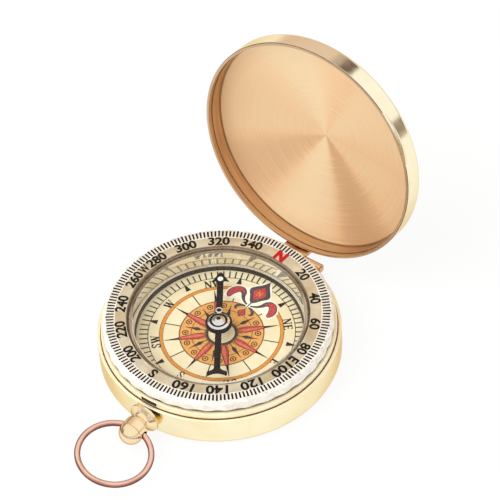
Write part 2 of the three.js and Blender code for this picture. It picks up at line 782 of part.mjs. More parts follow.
// Bent steel hook: plate on the rod, step outwards, leg, and the nose in the lip's slot
function latchHook() {
  const plateEnd = hookPlateY + HOOK_THICKNESS;
  const legEnd = hookLegY + HOOK_THICKNESS;
  const stepZ = stemZ + SPRING_RADIUS + SPRING_WIRE / 2 + FIT;
  const side = new THREE.Shape();
  side.moveTo(hookPlateY, stemZ - HOOK_FOOT);
  side.lineTo(plateEnd, stemZ - HOOK_FOOT);
  side.lineTo(plateEnd, stepZ + HOOK_THICKNESS);
  side.lineTo(legEnd, stepZ + HOOK_THICKNESS);
  side.lineTo(legEnd, hookTopZ);
  side.lineTo(-lipRadius + SEAT + RUN, hookTopZ);
  side.lineTo(-lipRadius + SEAT, hookNoseZ);
  side.lineTo(hookLegY, hookNoseZ);
  side.lineTo(hookLegY, stepZ);
  side.lineTo(hookPlateY, stepZ);
  side.closePath();
  const plate = new THREE.ExtrudeGeometry(side, { depth: HOOK_WIDTH, bevelEnabled: false })
    .translate(0, 0, -HOOK_WIDTH / 2)
    .rotateY(Math.PI / 2)
    .rotateX(Math.PI / 2);
  const bore = turnedOnStem(
    turned(
      [
        [0, hookPlateY - OVERCUT],
        [ROD_RADIUS + SEAT, hookPlateY - OVERCUT],
        [ROD_RADIUS + SEAT, plateEnd + OVERCUT],
        [0, plateEnd + OVERCUT],
      ],
      COARSE,
    ),
  );
  return geometryOf(solid(plate).subtract(solid(bore)));
}

function latchRivet() {
  return turnedOnStem(
    turned(
      [
        [0, rivetY],
        [RIVET_RADIUS, rivetY],
        [RIVET_TOP_RADIUS, rivetY + RIVET_THICKNESS],
        [0, rivetY + RIVET_THICKNESS],
      ],
      COARSE,
    ),
  );
}

// Coil spring on the rod between the bush and the hook: one unbroken tube
function latchSpring() {
  const steps = CURL_STEPS * SPRING_CURLS;
  const rise = SPRING_LENGTH - SPRING_WIRE - 2 * SEAT;
  const points = Array.from({ length: steps + 1 }, (_, i) => {
    const turn = (2 * Math.PI * SPRING_CURLS * i) / steps;
    const along = springStartY + SEAT + SPRING_WIRE / 2 + (rise * i) / steps;
    return new THREE.Vector3(
      SPRING_RADIUS * Math.cos(turn),
      along,
      stemZ + SPRING_RADIUS * Math.sin(turn),
    );
  });
  let gap = Infinity;
  for (let i = 0; i < points.length; i += 1) {
    for (let j = i + CURL_STEPS - 2; j < points.length; j += 1) {
      gap = Math.min(gap, points[i].distanceTo(points[j]) - SPRING_WIRE);
    }
  }
  console.log(`latch spring: least gap between curls ${gap.toFixed(2)} mm`);
  const section = new THREE.Shape(
    Array.from({ length: SPRING_SIDES }, (_, i) => {
      const angle = (2 * Math.PI * i) / SPRING_SIDES;
      return new THREE.Vector2(
        (SPRING_WIRE / 2) * Math.cos(angle),
        (SPRING_WIRE / 2) * Math.sin(angle),
      );
    }),
  );
  return new THREE.ExtrudeGeometry(section, {
    steps,
    extrudePath: new THREE.CatmullRomCurve3(points),
    bevelEnabled: false,
  });
}

// Ring drawn flat behind its pivot line, split where it passes through the ball.
// Its curve inside the ball lies half before and half behind that line, and it has slid a little along it.
function bowRing() {
  const half = BOW_SPLIT / 2 / bowRadius;
  const path = new THREE.Curve();
  path.getPoint = (t, target = new THREE.Vector3()) => {
    const angle = Math.PI / 2 + half + t * 2 * (Math.PI - half);
    return target.set(
      bowRadius * Math.cos(angle) + BOW_SHIFT,
      bowRadius * (Math.sin(angle) - 1) + bowSag / 2,
      0,
    );
  };
  const section = new THREE.Shape(
    Array.from({ length: BOW_SIDES }, (_, i) => {
      const angle = (2 * Math.PI * i) / BOW_SIDES;
      return new THREE.Vector2((BOW_WIRE / 2) * Math.cos(angle), (BOW_WIRE / 2) * Math.sin(angle));
    }),
  );
  return new THREE.ExtrudeGeometry(section, {
    steps: Math.round(MEDIUM),
    extrudePath: path,
    bevelEnabled: false,
  });
}

const compass = new THREE.Group();
compass.add(
  part("case_body", caseBody(), "brass"),
  part("case_knuckle_left", caseKnuckle(-1), "brass"),
  part("case_knuckle_right", caseKnuckle(1), "brass"),
  part("hinge_pin", hingePin(), "steel"),
  part("capsule_holder", capsuleHolder(), "brass"),
  part("capsule_cup", capsuleCup(), "brass"),
  part("dial_plate", dialPlate(), "card"),
  part("dial_ring", dialRing(), "black"),
  part("capsule_cover", capsuleCover(), "clear"),
  part("bezel_washer", bezelWasher(), "nylon"),
  part("bezel_ring", bezelRing(), "clear"),
  part("pivot_seat", pivotSeat(), "brass"),
  part("pivot_pin", pivotPin(), "steel"),
  part("needle_blade", needleBlade(), "black"),
  part("needle_cap", needleCap(), "steel"),
  part("needle_dot", needleDot(), "white"),
  part("stem_bush", stemBush(), "brass"),
  part("crown_knob", crownKnob(), "brass"),
  part("push_rod", pushRod(), "steel"),
  part("latch_hook", latchHook(), "steel"),
  part("latch_rivet", latchRivet(), "steel"),
  part("latch_spring", latchSpring(), "steel"),
);

const lid = new THREE.Group();
lid.position.set(0, hingeY, hingeZ);
lid.rotation.x = -LID_OPEN_ANGLE;
lid.add(
  part("lid_shell", lidShell().translate(0, -hingeY, -hingeZ), "brass"),
  part("lid_knuckle", lidKnuckle().translate(0, -hingeY, -hingeZ), "brass"),
);
compass.add(lid);

const stem = new THREE.Group();
stem.position.set(0, 0, stemZ);
stem.rotation.y = BOW_ROLL;
const bow = new THREE.Group();
bow.position.set(0, bowHoleY, 0);
bow.rotation.x = BOW_DROOP;
bow.add(part("bow_ring", bowRing(), "copper"));
stem.add(bow);
compass.add(stem);

export default compass;
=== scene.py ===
import math

import bmesh
import bpy
from mathutils import Matrix, Vector


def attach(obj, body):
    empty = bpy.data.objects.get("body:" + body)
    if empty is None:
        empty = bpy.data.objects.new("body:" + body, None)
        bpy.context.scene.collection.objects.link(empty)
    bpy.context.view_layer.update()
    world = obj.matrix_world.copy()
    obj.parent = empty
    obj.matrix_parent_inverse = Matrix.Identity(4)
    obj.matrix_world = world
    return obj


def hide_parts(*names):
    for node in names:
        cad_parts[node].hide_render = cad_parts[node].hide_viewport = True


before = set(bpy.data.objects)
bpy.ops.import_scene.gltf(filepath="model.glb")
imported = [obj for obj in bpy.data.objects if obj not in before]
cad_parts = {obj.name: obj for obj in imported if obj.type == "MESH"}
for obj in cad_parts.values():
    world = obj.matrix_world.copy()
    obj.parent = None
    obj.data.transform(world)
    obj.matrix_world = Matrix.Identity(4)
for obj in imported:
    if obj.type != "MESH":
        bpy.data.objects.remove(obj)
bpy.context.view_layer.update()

MM = 0.001
TURN = 2 * math.pi
SIDES = (-1, 1)

# Fineness: facets of turned pieces, the angle that stays a sharp edge, and texture units per millimetre
LID_FACETS = 288
CASE_FACETS = 240
RING_FACETS = 192
SMALL_FACETS = 96
TINY_FACETS = 48
SHARP = 35
SHARPER = 28
WELD = 1e-7
UV_PER_MM = 0.1

# Case, in millimetres as in the CAD model
CASE_RADIUS = 25.0
CASE_BORE = 23.0
CASE_EDGE = 0.25
SHOULDER_Z = 6.9
BASE_THICKNESS = 1.0
BASE_FILLET = 1.4
BASE_CHAMFER = 0.3
LIP_RADIUS = 24.15
LIP_BORE = 23.4
LIP_TOP_Z = 8.35
LIP_EDGE = 0.2
LIP_INNER_EDGE = 0.1
HINGE_Y = 25.87
HINGE_Z = 5.0
KNUCKLE_ROOM_RADIUS = 1.1
KNUCKLE_ROOM_HALF = 4.1
SLOT_HALF_WIDTH = 1.85
SLOT_NEAR_Y = -26
SLOT_FAR_Y = -22
SLOT_LOW_Z = 7.2
SLOT_HIGH_Z = 8.15
STEM_Z = 4.45
STEM_HOLE_RADIUS = 1.5
STEM_HOLE_Y = -24
STEM_HOLE_HALF = 2
# The crease beside the lip, as steps from the lip's foot
CREASE_STEPS = ((0.24, 0), (0.2, -0.2), (-0.05, -0.2), (-0.05, 0.08), (0, 0.14))

# Lid in its closed place, and how far it stands open
LID_WALL = 0.65
LID_BORE = 24.35
LID_RIM_Z = 7.0
LID_RIM_EDGE = 0.2
LID_RIM_BAND = 0.3
LID_INNER_EDGE = 0.1
LID_CORNER_R = 24.0
LID_CORNER_Z = 10.65
LID_CORNER = 0.35
LID_SIDE_GAP = 0.1
LID_DOME_ANGLE = math.radians(16.4)
LID_OPEN_ANGLE = math.radians(100.3)
GROOVE_LOW_Z = 7.35
GROOVE_HIGH_Z = 8.15
GROOVE_DEPTH = 0.14
THUMB_CURVE = 14.0
THUMB_REACH = 0.6
THUMB_ROOT = 0.3
THUMB_LEAST = 0.02
THUMB_RAISE = 0.03
THUMB_THICKNESS = 0.9
THUMB_BEARING = math.radians(-32.5)
THUMB_HALF_ANGLE = 0.42
THUMB_STEPS = 40
# Section of the thumb lip, as shares of its reach and its thickness
THUMB_SECTION = ((0.0, 0.0), (1.0, 0.0), (1.0, 0.35), (0.82, 0.62), (0.45, 0.85), (0.0, 1.0))
# The seam round the lid's floor, as steps from the floor's edge and from the wall
SEAM_FROM_FLOOR = ((0.1, -0.03), (0.13, 0.06))
SEAM_FROM_WALL = ((-0.02, 0.02), (0.0, -0.1))

# Capsule and cover
DIAL_SEAT_Z = 4.9
DIAL_Z = 5.3
DIAL_RADIUS = 17.5585
DIAL_BORE = 1.1
DIAL_CIRCLES = (14, 11, 8, 5, 3)
DIAL_RING_TOP_Z = 6.3
DIAL_RING_RADIUS = 18.0585
DIAL_RING_BORE = 17.1085
DIAL_RING_EDGE = 0.1
DIAL_RING_BAND = 0.32
DIAL_RING_CHAMFER = 0.06
DIAL_RING_FALL = 0.2
COVER_RADIUS = 18.2085
COVER_BORE = 17.7085
COVER_FLANGE = 18.7085
COVER_FOOT_Z = 6.35
COVER_CHAMFER = 0.15
COVER_EDGE = 0.25
WINDOW_RADIUS = 17.5
WINDOW_LOW_Z = 10.3
WINDOW_TOP_Z = 11.05
WINDOW_CIRCLES = (6, 12, WINDOW_RADIUS - 0.01)

# Bezel
BEZEL_BORE = 18.3085
BEZEL_MOUTH = 18.8085
BEZEL_FOOT = 20.9085
BEZEL_FACE_RADIUS = 21.05
BEZEL_RADIUS = 23.7
BEZEL_LOW_Z = 8.45
BEZEL_SHELF_Z = 10.2
BEZEL_FLANGE_Z = 8.75
BEZEL_TOP_Z = 11.15
BEZEL_CHAMFER = 0.1
BEZEL_ROUNDING = 0.75
BEZEL_SCALLOPS = 36
SCALLOP_FACETS = 10
SCALLOP_DEPTH = 0.22
# The bezel's rounded rim, as steps from where its side and its top would meet
BEZEL_RIM = ((0, -0.6), (-0.12, -0.45), (-0.6, -0.06), (-BEZEL_ROUNDING, 0))

# Needle: its arrow head, its tail, and the hub and cap that it turns on
NEEDLE_BEARING = math.radians(124)
NEEDLE_LOW_Z = 8.25
NEEDLE_TOP_Z = 8.55
NEEDLE_HALF = 0.65
NEEDLE_TIP = 13.7
NEEDLE_TIP_HALF = 0.28
NEEDLE_BARB = 11.15
NEEDLE_BARB_HALF = 1.85
NEEDLE_TAIL = -14.1
NEEDLE_TAIL_HALF = 2.1
NEEDLE_TAIL_END = 1.1
NEEDLE_HOLLOW = 0.6
NEEDLE_BEVEL = 0.06
HUB_BORE = 1.8
HUB_RADIUS = 2.75
HUB_LOW_Z = 8.0
HUB_TOP_Z = 8.8
HUB_LOW_EDGE = 0.15
HUB_TOP_EDGE = 0.2
HUB_CHAMFER = 0.1
CAP_LOW_Z = 7.6
CAP_CONE_Z = 9.1
CAP_CONE_TOP_Z = 9.65
CAP_FOOT_RADIUS = 0.95
CAP_BORE = 0.55
CAP_RADIUS = 1.75
# A bright ring on the needle beside the hub: a painted reflection of the cap in the window
REFLECTION_RING_X = 2.95
REFLECTION_RING_RADIUS = 0.62
REFLECTION_RING_WIRE = 0.17
REFLECTION_RING_RISE = 0.12
REFLECTION_RING_SINK = 0.06

# Stem and bow ring
COLLAR_Y = -25.6
COLLAR_END_Y = -26.2
COLLAR_RADIUS = 3.3
COLLAR_EDGE = 0.1
NECK_Y = -27.75
NECK_RADIUS = 1.9
BALL_RADIUS = 2.5
BAND_END_Y = -30.45
BALL_END_Y = -32.95
BALL_ROUNDING = 0.7
STEM_BORE = 0.75
STEM_BORE_DEPTH = 1.2
BOW_HOLE_Y = -29.45
BOW_HOLE_RADIUS = 0.9
BOW_HOLE_HALF = 4
BOW_RADIUS = 7.375
BOW_WIRE = 1.25
BOW_SAG = BOW_RADIUS - math.sqrt(BOW_RADIUS**2 - BALL_RADIUS**2)
BOW_SHIFT = 0.4
BOW_SPLIT = 0.35
BOW_DROOP = math.radians(0.3)
BOW_ROLL = math.radians(8)
BOW_STEPS = 160
BOW_SIDES = 20
BOW_END_TAPER = (0.82, 0.95, 1.0)
BOW_SHARP = 50
# The stem's turned lines, as steps from the ball's band and its shoulder, the neck and the collar
BAND_STEPS = ((-0.05, -0.12), (-0.12, 0), (0, 0.1))
SHOULDER_STEPS = ((0, -0.1), (-0.12, 0))
NECK_STEPS = ((-0.12, 0), (-0.12, 0.3), (0, 0.38))
FLARE_STEPS = ((0, 0.4), (0.3, 0.85))
COLLAR_STEPS = ((-0.15, -0.1), (0, 0))


# Meshes

def shade(mesh, sharp):
    """Smooth shading that stops at edges of more than the angle in degrees."""
    mesh.shade_smooth()
    mesh.set_sharp_from_angle(angle=math.radians(sharp))


def add_mesh(name, vertices, faces, materials, body, slot=None, uvs=None, slots=None, sharp=SHARP, move=None):
    """A piece from points in millimetres; uvs holds one pair for each corner of each face."""
    points = [Vector(v) for v in vertices]
    if move:
        points = [move @ point for point in points]
    mesh = bpy.data.meshes.new(name)
    mesh.from_pydata([point * MM for point in points], [], faces)
    for material in materials:
        mesh.materials.append(material)
    if slots:
        for polygon, index in zip(mesh.polygons, slots):
            polygon.material_index = index
    if uvs:
        layer = mesh.uv_layers.new(name="UVMap")
        for loop, uv in zip(layer.data, uvs):
            loop.uv = uv
    obj = bpy.data.objects.new(name, mesh)
    bpy.context.scene.collection.objects.link(obj)
    work = bmesh.new()
    work.from_mesh(mesh)
    bmesh.ops.remove_doubles(work, verts=work.verts, dist=WELD)
    bmesh.ops.recalc_face_normals(work, faces=work.faces)
    work.to_mesh(mesh)
    work.free()
    shade(mesh, sharp)
    if body:
        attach(obj, body)
    return obj


def lathe(profile, facets, radius_at=None):
    """Turns (radius, height) points about the upright axis into points, faces, UVs and profile places."""
    count = len(profile)
    lengths = [0.0]
    for a, b in zip(profile, profile[1:] + profile[:1]):
        lengths.append(lengths[-1] + math.dist(a, b))
    vertices = []
    for step in range(facets):
        angle = TURN * step / facets
        for radius, height in profile:
            r = radius_at(radius, angle) if radius_at else radius
            vertices.append((r * math.cos(angle), r * math.sin(angle), height))
    faces = []
    uvs = []
    places = []
    for step in range(facets):
        left = step * count
        right = ((step + 1) % facets) * count
        u0 = step / facets
        u1 = (step + 1) / facets
        for i in range(count):
            j = (i + 1) % count
            ends = (profile[i][0], profile[j][0])
            if ends == (0, 0):
                continue
            v0 = lengths[i] * UV_PER_MM
            v1 = lengths[i + 1] * UV_PER_MM
            corners = [
                (left + i, (u0, v0)),
                (right + i, (u1, v0)),
                (right + j, (u1, v1)),
                (left + j, (u0, v1)),
            ]
            if ends[0] == 0:
                corners.pop(1)
            elif ends[1] == 0:
                corners.pop(2)
            faces.append([corner for corner, uv in corners])
            uvs.extend(uv for corner, uv in corners)
            places.append(i)
    return vertices, faces, uvs, places


def sweep_faces(steps, count):
    """Faces of a closed section of count points that was placed steps + 1 times, with both ends shut."""
    faces = []
    for step in range(steps):
        a = step * count
        for i in range(count):
            j = (i + 1) % count
            faces.append((a + i, a + count + i, a + count + j, a + j))
    faces.append(tuple(range(count)))
    faces.append(tuple(steps * count + i for i in range(count)))
    return faces


def arc(centre, radius, start, end, steps):
    points = []
    for i in range(steps + 1):
        angle = math.radians(start + (end - start) * i / steps)
        points.append((centre[0] + radius * math.cos(angle), centre[1] + radius * math.sin(angle)))
    return points


def steps_from(radius, height, steps):
    """Points of a profile, as steps from one place on it."""
    return [(radius + r, height + z) for r, z in steps]


def runs(*pairs):
    """A finish for each step of a profile, from pairs of a finish's number and how many steps have it."""
    return [finish for finish, count in pairs for step in range(count)]


def turned(name, profile, facets, materials, body, slot, finish_at=None, radius_at=None, **settings):
    """A piece from a lathe; finish_at gives the number of the material for each step of the profile."""
    vertices, faces, uvs, places = lathe(profile, facets, radius_at)
    slots = [finish_at[place] for place in places] if finish_at else None
    return add_mesh(name, vertices, faces, materials, body, slot, uvs, slots, **settings)


def block(name, low, high):
    """A box that is only cut away from a piece."""
    (x0, y0, z0), (x1, y1, z1) = low, high
    vertices = [(x, y, z) for x in (x0, x1) for y in (y0, y1) for z in (z0, z1)]
    faces = [(0, 1, 3, 2), (4, 6, 7, 5), (0, 4, 5, 1), (2, 3, 7, 6), (0, 2, 6, 4), (1, 5, 7, 3)]
    return add_mesh(name, vertices, faces, [], None)


def rod(name, radius, half_length, move):
    """A round bar that is only cut away from a piece."""
    profile = [(0, -half_length), (radius, -half_length), (radius, half_length), (0, half_length)]
    vertices, faces, uvs, places = lathe(profile, TINY_FACETS)
    return add_mesh(name, vertices, faces, [], None, move=move)


def cut(obj, cutters, sharp=SHARP):
    """Takes the cutters out of obj for good and removes them."""
    for cutter in cutters:
        modifier = obj.modifiers.new("cut", "BOOLEAN")
        modifier.operation = "DIFFERENCE"
        modifier.solver = "EXACT"
        modifier.object = cutter
    bpy.context.view_layer.update()
    graph = bpy.context.evaluated_depsgraph_get()
    mesh = bpy.data.meshes.new_from_object(obj.evaluated_get(graph))
    obj.modifiers.clear()
    old = obj.data
    obj.data = mesh
    bpy.data.meshes.remove(old)
    mesh.name = obj.name
    for cutter in cutters:
        data = cutter.data
        bpy.data.objects.remove(cutter)
        bpy.data.meshes.remove(data)
    shade(mesh, sharp)


# Materials

# Noise mostly lies between these two levels
NOISE_LOW = 0.3
NOISE_HIGH = 0.7
# How much finer the noise of hairline marks runs along each axis
HAIRLINES = (1, 1, 8)
# Heights of bumps, in metres
LOW_BUMP = 0.00001
BUMP = 0.00002
HIGH_BUMP = 0.00003
WHITE = (1, 1, 1, 1)


def add_node(tree, kind, inputs=None, **settings):
    """A new node in a tree, with a value or another node's output for each of the inputs."""
    node = tree.nodes.new(kind)
    for key, value in settings.items():
        setattr(node, key, value)
    for socket, value in (inputs or {}).items():
        if isinstance(value, bpy.types.NodeSocket):
            tree.links.new(value, node.inputs[socket])
        else:
            node.inputs[socket].default_value = value
    return node


def add_ramp(tree, factor, stops):
    """A ramp through stops, each a place and a colour."""
    ramp = add_node(tree, "ShaderNodeValToRGB", {"Fac": factor})
    elements = ramp.color_ramp.elements
    while len(elements) < len(stops):
        elements.new(0.5)
    for element, (place, colour) in zip(elements, stops):
        element.position = place
        element.color = (*colour, 1)
    return ramp.outputs["Color"]


class Finish:
    """A material with one Principled shader and the nodes that feed it."""

    def __init__(self, name, **sockets):
        self.material = bpy.data.materials.new(name)
        self.material.use_nodes = True
        self.tree = self.material.node_tree
        self.shader = self.tree.nodes["Principled BSDF"]
        self.coordinates = self.node("ShaderNodeTexCoord").outputs
        for socket, value in sockets.items():
            self.shader.inputs[socket.replace("_", " ")].default_value = value

    def node(self, kind, inputs=None, **settings):
        return add_node(self.tree, kind, inputs, **settings)

    def feed(self, socket, output):
        self.tree.links.new(output, self.shader.inputs[socket])

    def parts(self, source):
        """The X, Y and Z of one of the coordinates."""
        return self.node("ShaderNodeSeparateXYZ", {"Vector": self.coordinates[source]}).outputs

    def add(self, first, second):
        return self.node("ShaderNodeMath", {0: first, 1: second}, operation="ADD").outputs[0]

    def noise(self, scale, detail, source="Object", stretch=(1, 1, 1)):
        mapping = self.node("ShaderNodeMapping", {"Vector": self.coordinates[source], "Scale": stretch})
        inputs = {"Vector": mapping.outputs["Vector"], "Scale": scale, "Detail": detail}
        return self.node("ShaderNodeTexNoise", inputs).outputs["Fac"]

    def colour(self, factor, stops):
        self.feed("Base Color", add_ramp(self.tree, factor, stops))

    def spread(self, factor, low, high):
        """Maps noise around its middle to a range."""
        inputs = {"Value": factor, "From Min": NOISE_LOW, "From Max": NOISE_HIGH}
        inputs.update({"To Min": low, "To Max": high})
        return self.node("ShaderNodeMapRange", inputs).outputs["Result"]

    def roughness(self, factor, low, high):
        self.feed("Roughness", self.spread(factor, low, high))

    def bump(self, height, strength, distance):
        inputs = {"Height": height, "Strength": strength, "Distance": distance}
        self.feed("Normal", self.node("ShaderNodeBump", inputs).outputs["Normal"])


def metal(name, light, dark, rough, scratch=0.05, edge=(1, 1, 1), bare=1.0):
    """Plated metal: slow shifts of tone, smears in the polish and hairline marks; less bare if lacquered."""
    finish = Finish(name, Metallic=bare, Specular_Tint=(*edge, 1))
    finish.colour(finish.noise(140, 3), [(0.35, dark), (0.62, light)])
    finish.roughness(finish.noise(700, 5), *rough)
    finish.bump(finish.noise(2100, 3, stretch=HAIRLINES), scratch, BUMP)
    return finish.material


# Painted light on the bow's wire: tones from painted shade down its sides to a painted highlight along its
# upper face
WIRE_SHADE_TO_HIGHLIGHT = (
    (0.2, (0.20, 0.075, 0.06)),
    (0.55, (0.47, 0.21, 0.16)),
    (0.8, (0.70, 0.37, 0.285)),
    (0.95, (0.90, 0.61, 0.49)),
)


def worn_wire(name):
    """Plated wire with painted light: a painted highlight along its upper face and painted shade down its
    sides, set by which way the surface faces.
    """
    finish = Finish(name, Metallic=1.0, Specular_Tint=(0.16, 0.07, 0.06, 1))
    uneven = finish.spread(finish.noise(160, 3), -0.12, 0.12)
    finish.colour(finish.add(finish.parts("Normal")["Z"], uneven), WIRE_SHADE_TO_HIGHLIGHT)
    finish.roughness(finish.noise(700, 5), 0.06, 0.16)
    finish.bump(finish.noise(2100, 3, stretch=HAIRLINES), 0.05, BUMP)
    return finish.material


def ink(name, light, dark):
    """Printing ink: a little uneven in tone where it has soaked into the card."""
    finish = Finish(name, Specular_IOR_Level=0.15)
    finish.colour(finish.noise(2600, 5), [(0.36, dark), (0.6, light)])
    finish.roughness(finish.noise(4000, 3), 0.47, 0.63)
    finish.bump(finish.noise(9000, 2), 0.1, LOW_BUMP)
    return finish.material


# Painted sheen of the lid's floor by the share of a turn: soft light and dark sectors painted into the tone
# of the brushed lines
PAINTED_SHEEN = (
    (0.0, 0.55), (0.06, 0.7), (0.14, 0.0), (0.2, 0.55), (0.26, 0.95), (0.32, 0.7), (0.39, 0.1), (0.48, 0.75),
    (0.58, 0.7), (0.68, 1.0), (0.79, 0.5), (0.85, 0.75), (0.94, 0.7), (1.0, 0.55),
)
# How far the painted sheen shifts the tone of the brushed lines
SHEEN_SHIFT = 0.2
FLOOR_TONES = ((0.3, (0.80, 0.51, 0.28)), (0.5, (0.99, 0.665, 0.385)), (0.7, (1.0, 0.79, 0.505)))


def brushed_floor(name):
    """The lid's inside: circles from the brush, coarse over fine, with painted sheen sectors that shift their
    tone round them.
    """
    finish = Finish(name, Metallic=0.64, Anisotropic=0.85, Anisotropic_Rotation=0.25)
    tangent = finish.node("ShaderNodeTangent", direction_type="UV_MAP", uv_map="UVMap")
    finish.feed("Tangent", tangent.outputs["Tangent"])
    fine = finish.noise(1.0, 6, source="UV", stretch=(0, 420, 1))
    coarse = finish.noise(1.0, 4, source="UV", stretch=(7, 46, 1))
    rings = finish.node("ShaderNodeMix", {"Factor": 0.4, "A": fine, "B": coarse}, data_type="FLOAT")
    lines = rings.outputs["Result"]
    sectors = finish.node("ShaderNodeFloatCurve", {"Value": finish.parts("UV")["X"]})
    sheen = sectors.mapping.curves[0]
    for place, level in PAINTED_SHEEN[1:-1]:
        sheen.points.new(place, level)
    sheen.points[0].location = PAINTED_SHEEN[0]
    sheen.points[-1].location = PAINTED_SHEEN[-1]
    sectors.mapping.update()
    inputs = {"Value": sectors.outputs["Value"], "To Min": -SHEEN_SHIFT, "To Max": SHEEN_SHIFT}
    shift = finish.node("ShaderNodeMapRange", inputs)
    finish.colour(finish.add(lines, shift.outputs["Result"]), FLOOR_TONES)
    finish.roughness(lines, 0.38, 0.48)
    finish.bump(lines, 0.2, HIGH_BUMP)
    return finish.material


def brushed_wall(name):
    """The skirt's inside: drawn brass with streaks that run round it."""
    finish = Finish(name, Metallic=1.0)
    streaks = finish.noise(1.0, 5, source="UV", stretch=(12, 60, 1))
    tones = [(0.32, (0.51, 0.33, 0.2)), (0.5, (0.665, 0.455, 0.285)), (0.68, (0.785, 0.58, 0.375))]
    finish.colour(streaks, tones)
    finish.roughness(streaks, 0.34, 0.46)
    finish.bump(streaks, 0.15, BUMP)
    return finish.material


def patina(name, light, dark):
    """Painted shade for seams and creases: a dark brown where shade falls between faces."""
    finish = Finish(name, Metallic=0.4)
    finish.colour(finish.noise(1800, 4), [(0.35, dark), (0.65, light)])
    finish.roughness(finish.noise(2500, 3), 0.45, 0.65)
    finish.bump(finish.noise(4000, 3), 0.2, BUMP)
    return finish.material


def thin_clear(name):
    """The flat window: it only mirrors a little of the light and lets the rest through."""
    finish = Finish(name, Metallic=1.0, Alpha=0.02)
    finish.colour(finish.noise(90, 2), [(0.3, (0.93, 0.93, 0.92)), (0.7, (0.99, 0.99, 0.99))])
    finish.roughness(finish.noise(500, 4), 0.01, 0.05)
    return finish.material


def misty_clear(name, veil, dark, light, mirror=0.0, rough=(0.08, 0.2), grain=240):
    """Clear plastic with a pale veil, thicker where frosted, and silvered where light turns back in it."""
    finish = Finish(name, Alpha=veil, IOR=1.49, Metallic=mirror)
    finish.colour(finish.noise(grain, 5), [(0.34, dark), (0.64, light)])
    finish.roughness(finish.noise(700, 4), *rough)
    finish.bump(finish.noise(420, 2), 0.08, HIGH_BUMP)
    return finish.material


# The darker tone of the holder's brass: where it ends, in metres from the axis, and which way it gets lighter
TONE_INNER = 0.0190
TONE_OUTER = 0.0222
TONE_LIGHTENS = (18, -24, 0)


def holder_brass(name):
    """The brass under the bezel: darker near the capsule and towards the hinge, lighter towards the rim and
    the stem.
    """
    finish = Finish(name, Metallic=1.0)
    parts = finish.parts("Object")
    flat = finish.node("ShaderNodeCombineXYZ", {"X": parts["X"], "Y": parts["Y"]})
    reach = finish.node("ShaderNodeVectorMath", {0: flat.outputs["Vector"]}, operation="LENGTH")
    inputs = {"Value": reach.outputs["Value"], "From Min": TONE_INNER, "From Max": TONE_OUTER}
    bright = finish.node("ShaderNodeMapRange", inputs)
    inputs = {0: finish.coordinates["Object"], 1: TONE_LIGHTENS}
    side = finish.node("ShaderNodeVectorMath", inputs, operation="DOT_PRODUCT")
    lightness = finish.add(bright.outputs["Result"], side.outputs["Value"])
    uneven = finish.spread(finish.noise(330, 5), -0.35, 0.35)
    tones = [(0.0, (0.66, 0.50, 0.32)), (0.35, (0.93, 0.78, 0.53)), (0.8, (1.0, 0.94, 0.80))]
    finish.colour(finish.add(lightness, uneven), tones)
    finish.roughness(finish.noise(900, 4), 0.2, 0.4)
    finish.bump(finish.noise(1500, 4), 0.15, HIGH_BUMP)
    return finish.material


def paint(name, light, dark, rough, gloss=0.5):
    """Paint or moulded plastic: a little uneven in tone and sheen."""
    finish = Finish(name, Specular_IOR_Level=gloss)
    finish.colour(finish.noise(900, 4), [(0.35, dark), (0.65, light)])
    finish.roughness(finish.noise(1500, 4), rough - 0.06, rough + 0.06)
    finish.bump(finish.noise(3500, 3), 0.06, BUMP)
    return finish.material


def card(name):
    """Cream card: paper fibre and a slow yellowing."""
    finish = Finish(name, Specular_IOR_Level=0.3)
    finish.colour(finish.noise(170, 6), [(0.3, (0.80, 0.695, 0.42)), (0.7, (0.87, 0.79, 0.55))])
    finish.roughness(finish.noise(3000, 4), 0.5, 0.66)
    finish.bump(finish.noise(6000, 4, stretch=(1, 3, 1)), 0.15, LOW_BUMP)
    return finish.material


# Metals: a light and a dark tone and a range of roughness
GOLD = metal("gold_brass", (1.0, 0.91, 0.63), (0.97, 0.84, 0.53), (0.08, 0.18), edge=(0.8, 0.62, 0.4))
SATIN = metal("satin_brass", (1.0, 0.91, 0.66), (0.96, 0.83, 0.57), (0.3, 0.42), bare=0.45)
STEM_EDGE = (0.55, 0.34, 0.18)
STEM_GOLD = metal("stem_brass", (1.0, 0.82, 0.53), (0.95, 0.73, 0.44), (0.16, 0.28), edge=STEM_EDGE)
SHELL_EDGE = (0.85, 0.72, 0.5)
SHELL = metal("pale_gold_outside", (1.0, 0.93, 0.69), (0.98, 0.87, 0.60), (0.06, 0.14), edge=SHELL_EDGE)
WALL = brushed_wall("brushed_wall")
# Painted shade: the darker for the lid's seam, groove and rim edge and the cover's flange, the paler for the
# crease beside the case's lip
DARK_SEAM_SHADE = patina("seam_painted_shade", (0.20, 0.115, 0.058), (0.075, 0.040, 0.020))
PALE_SEAM_SHADE = patina("crease_painted_shade", (0.36, 0.19, 0.105), (0.21, 0.105, 0.056))
# The lid's floor: brushed circles, with painted sheen in light and dark sectors
FLOOR_BRASS_PAINTED_SHEEN = brushed_floor("brushed_rose_brass_painted_sheen")
COPPER = metal("copper_brass", (0.88, 0.65, 0.43), (0.74, 0.50, 0.31), (0.12, 0.24), edge=(0.4, 0.2, 0.1))
# Rose copper with painted light: a highlight along the wire's top and shade down its sides
ROSE = worn_wire("rose_copper")
HOLDER = holder_brass("holder_brass")
MIRROR = metal("pale_mirror", (0.98, 0.92, 0.78), (0.90, 0.82, 0.66), (0.22, 0.36), 0.02)
STEEL = metal("ground_steel", (0.60, 0.60, 0.61), (0.48, 0.48, 0.49), (0.2, 0.35))
# Browned steel, dark enough to be painted shade in the lip's slot where the latch hook shows
SLOT_SHADE_STEEL = metal("browned_steel_slot_shade", (0.085, 0.05, 0.03), (0.04, 0.024, 0.016), (0.35, 0.5), bare=0.5)
BRIGHT = metal("bright_cap", (0.90, 0.89, 0.86), (0.76, 0.75, 0.72), (0.04, 0.12))

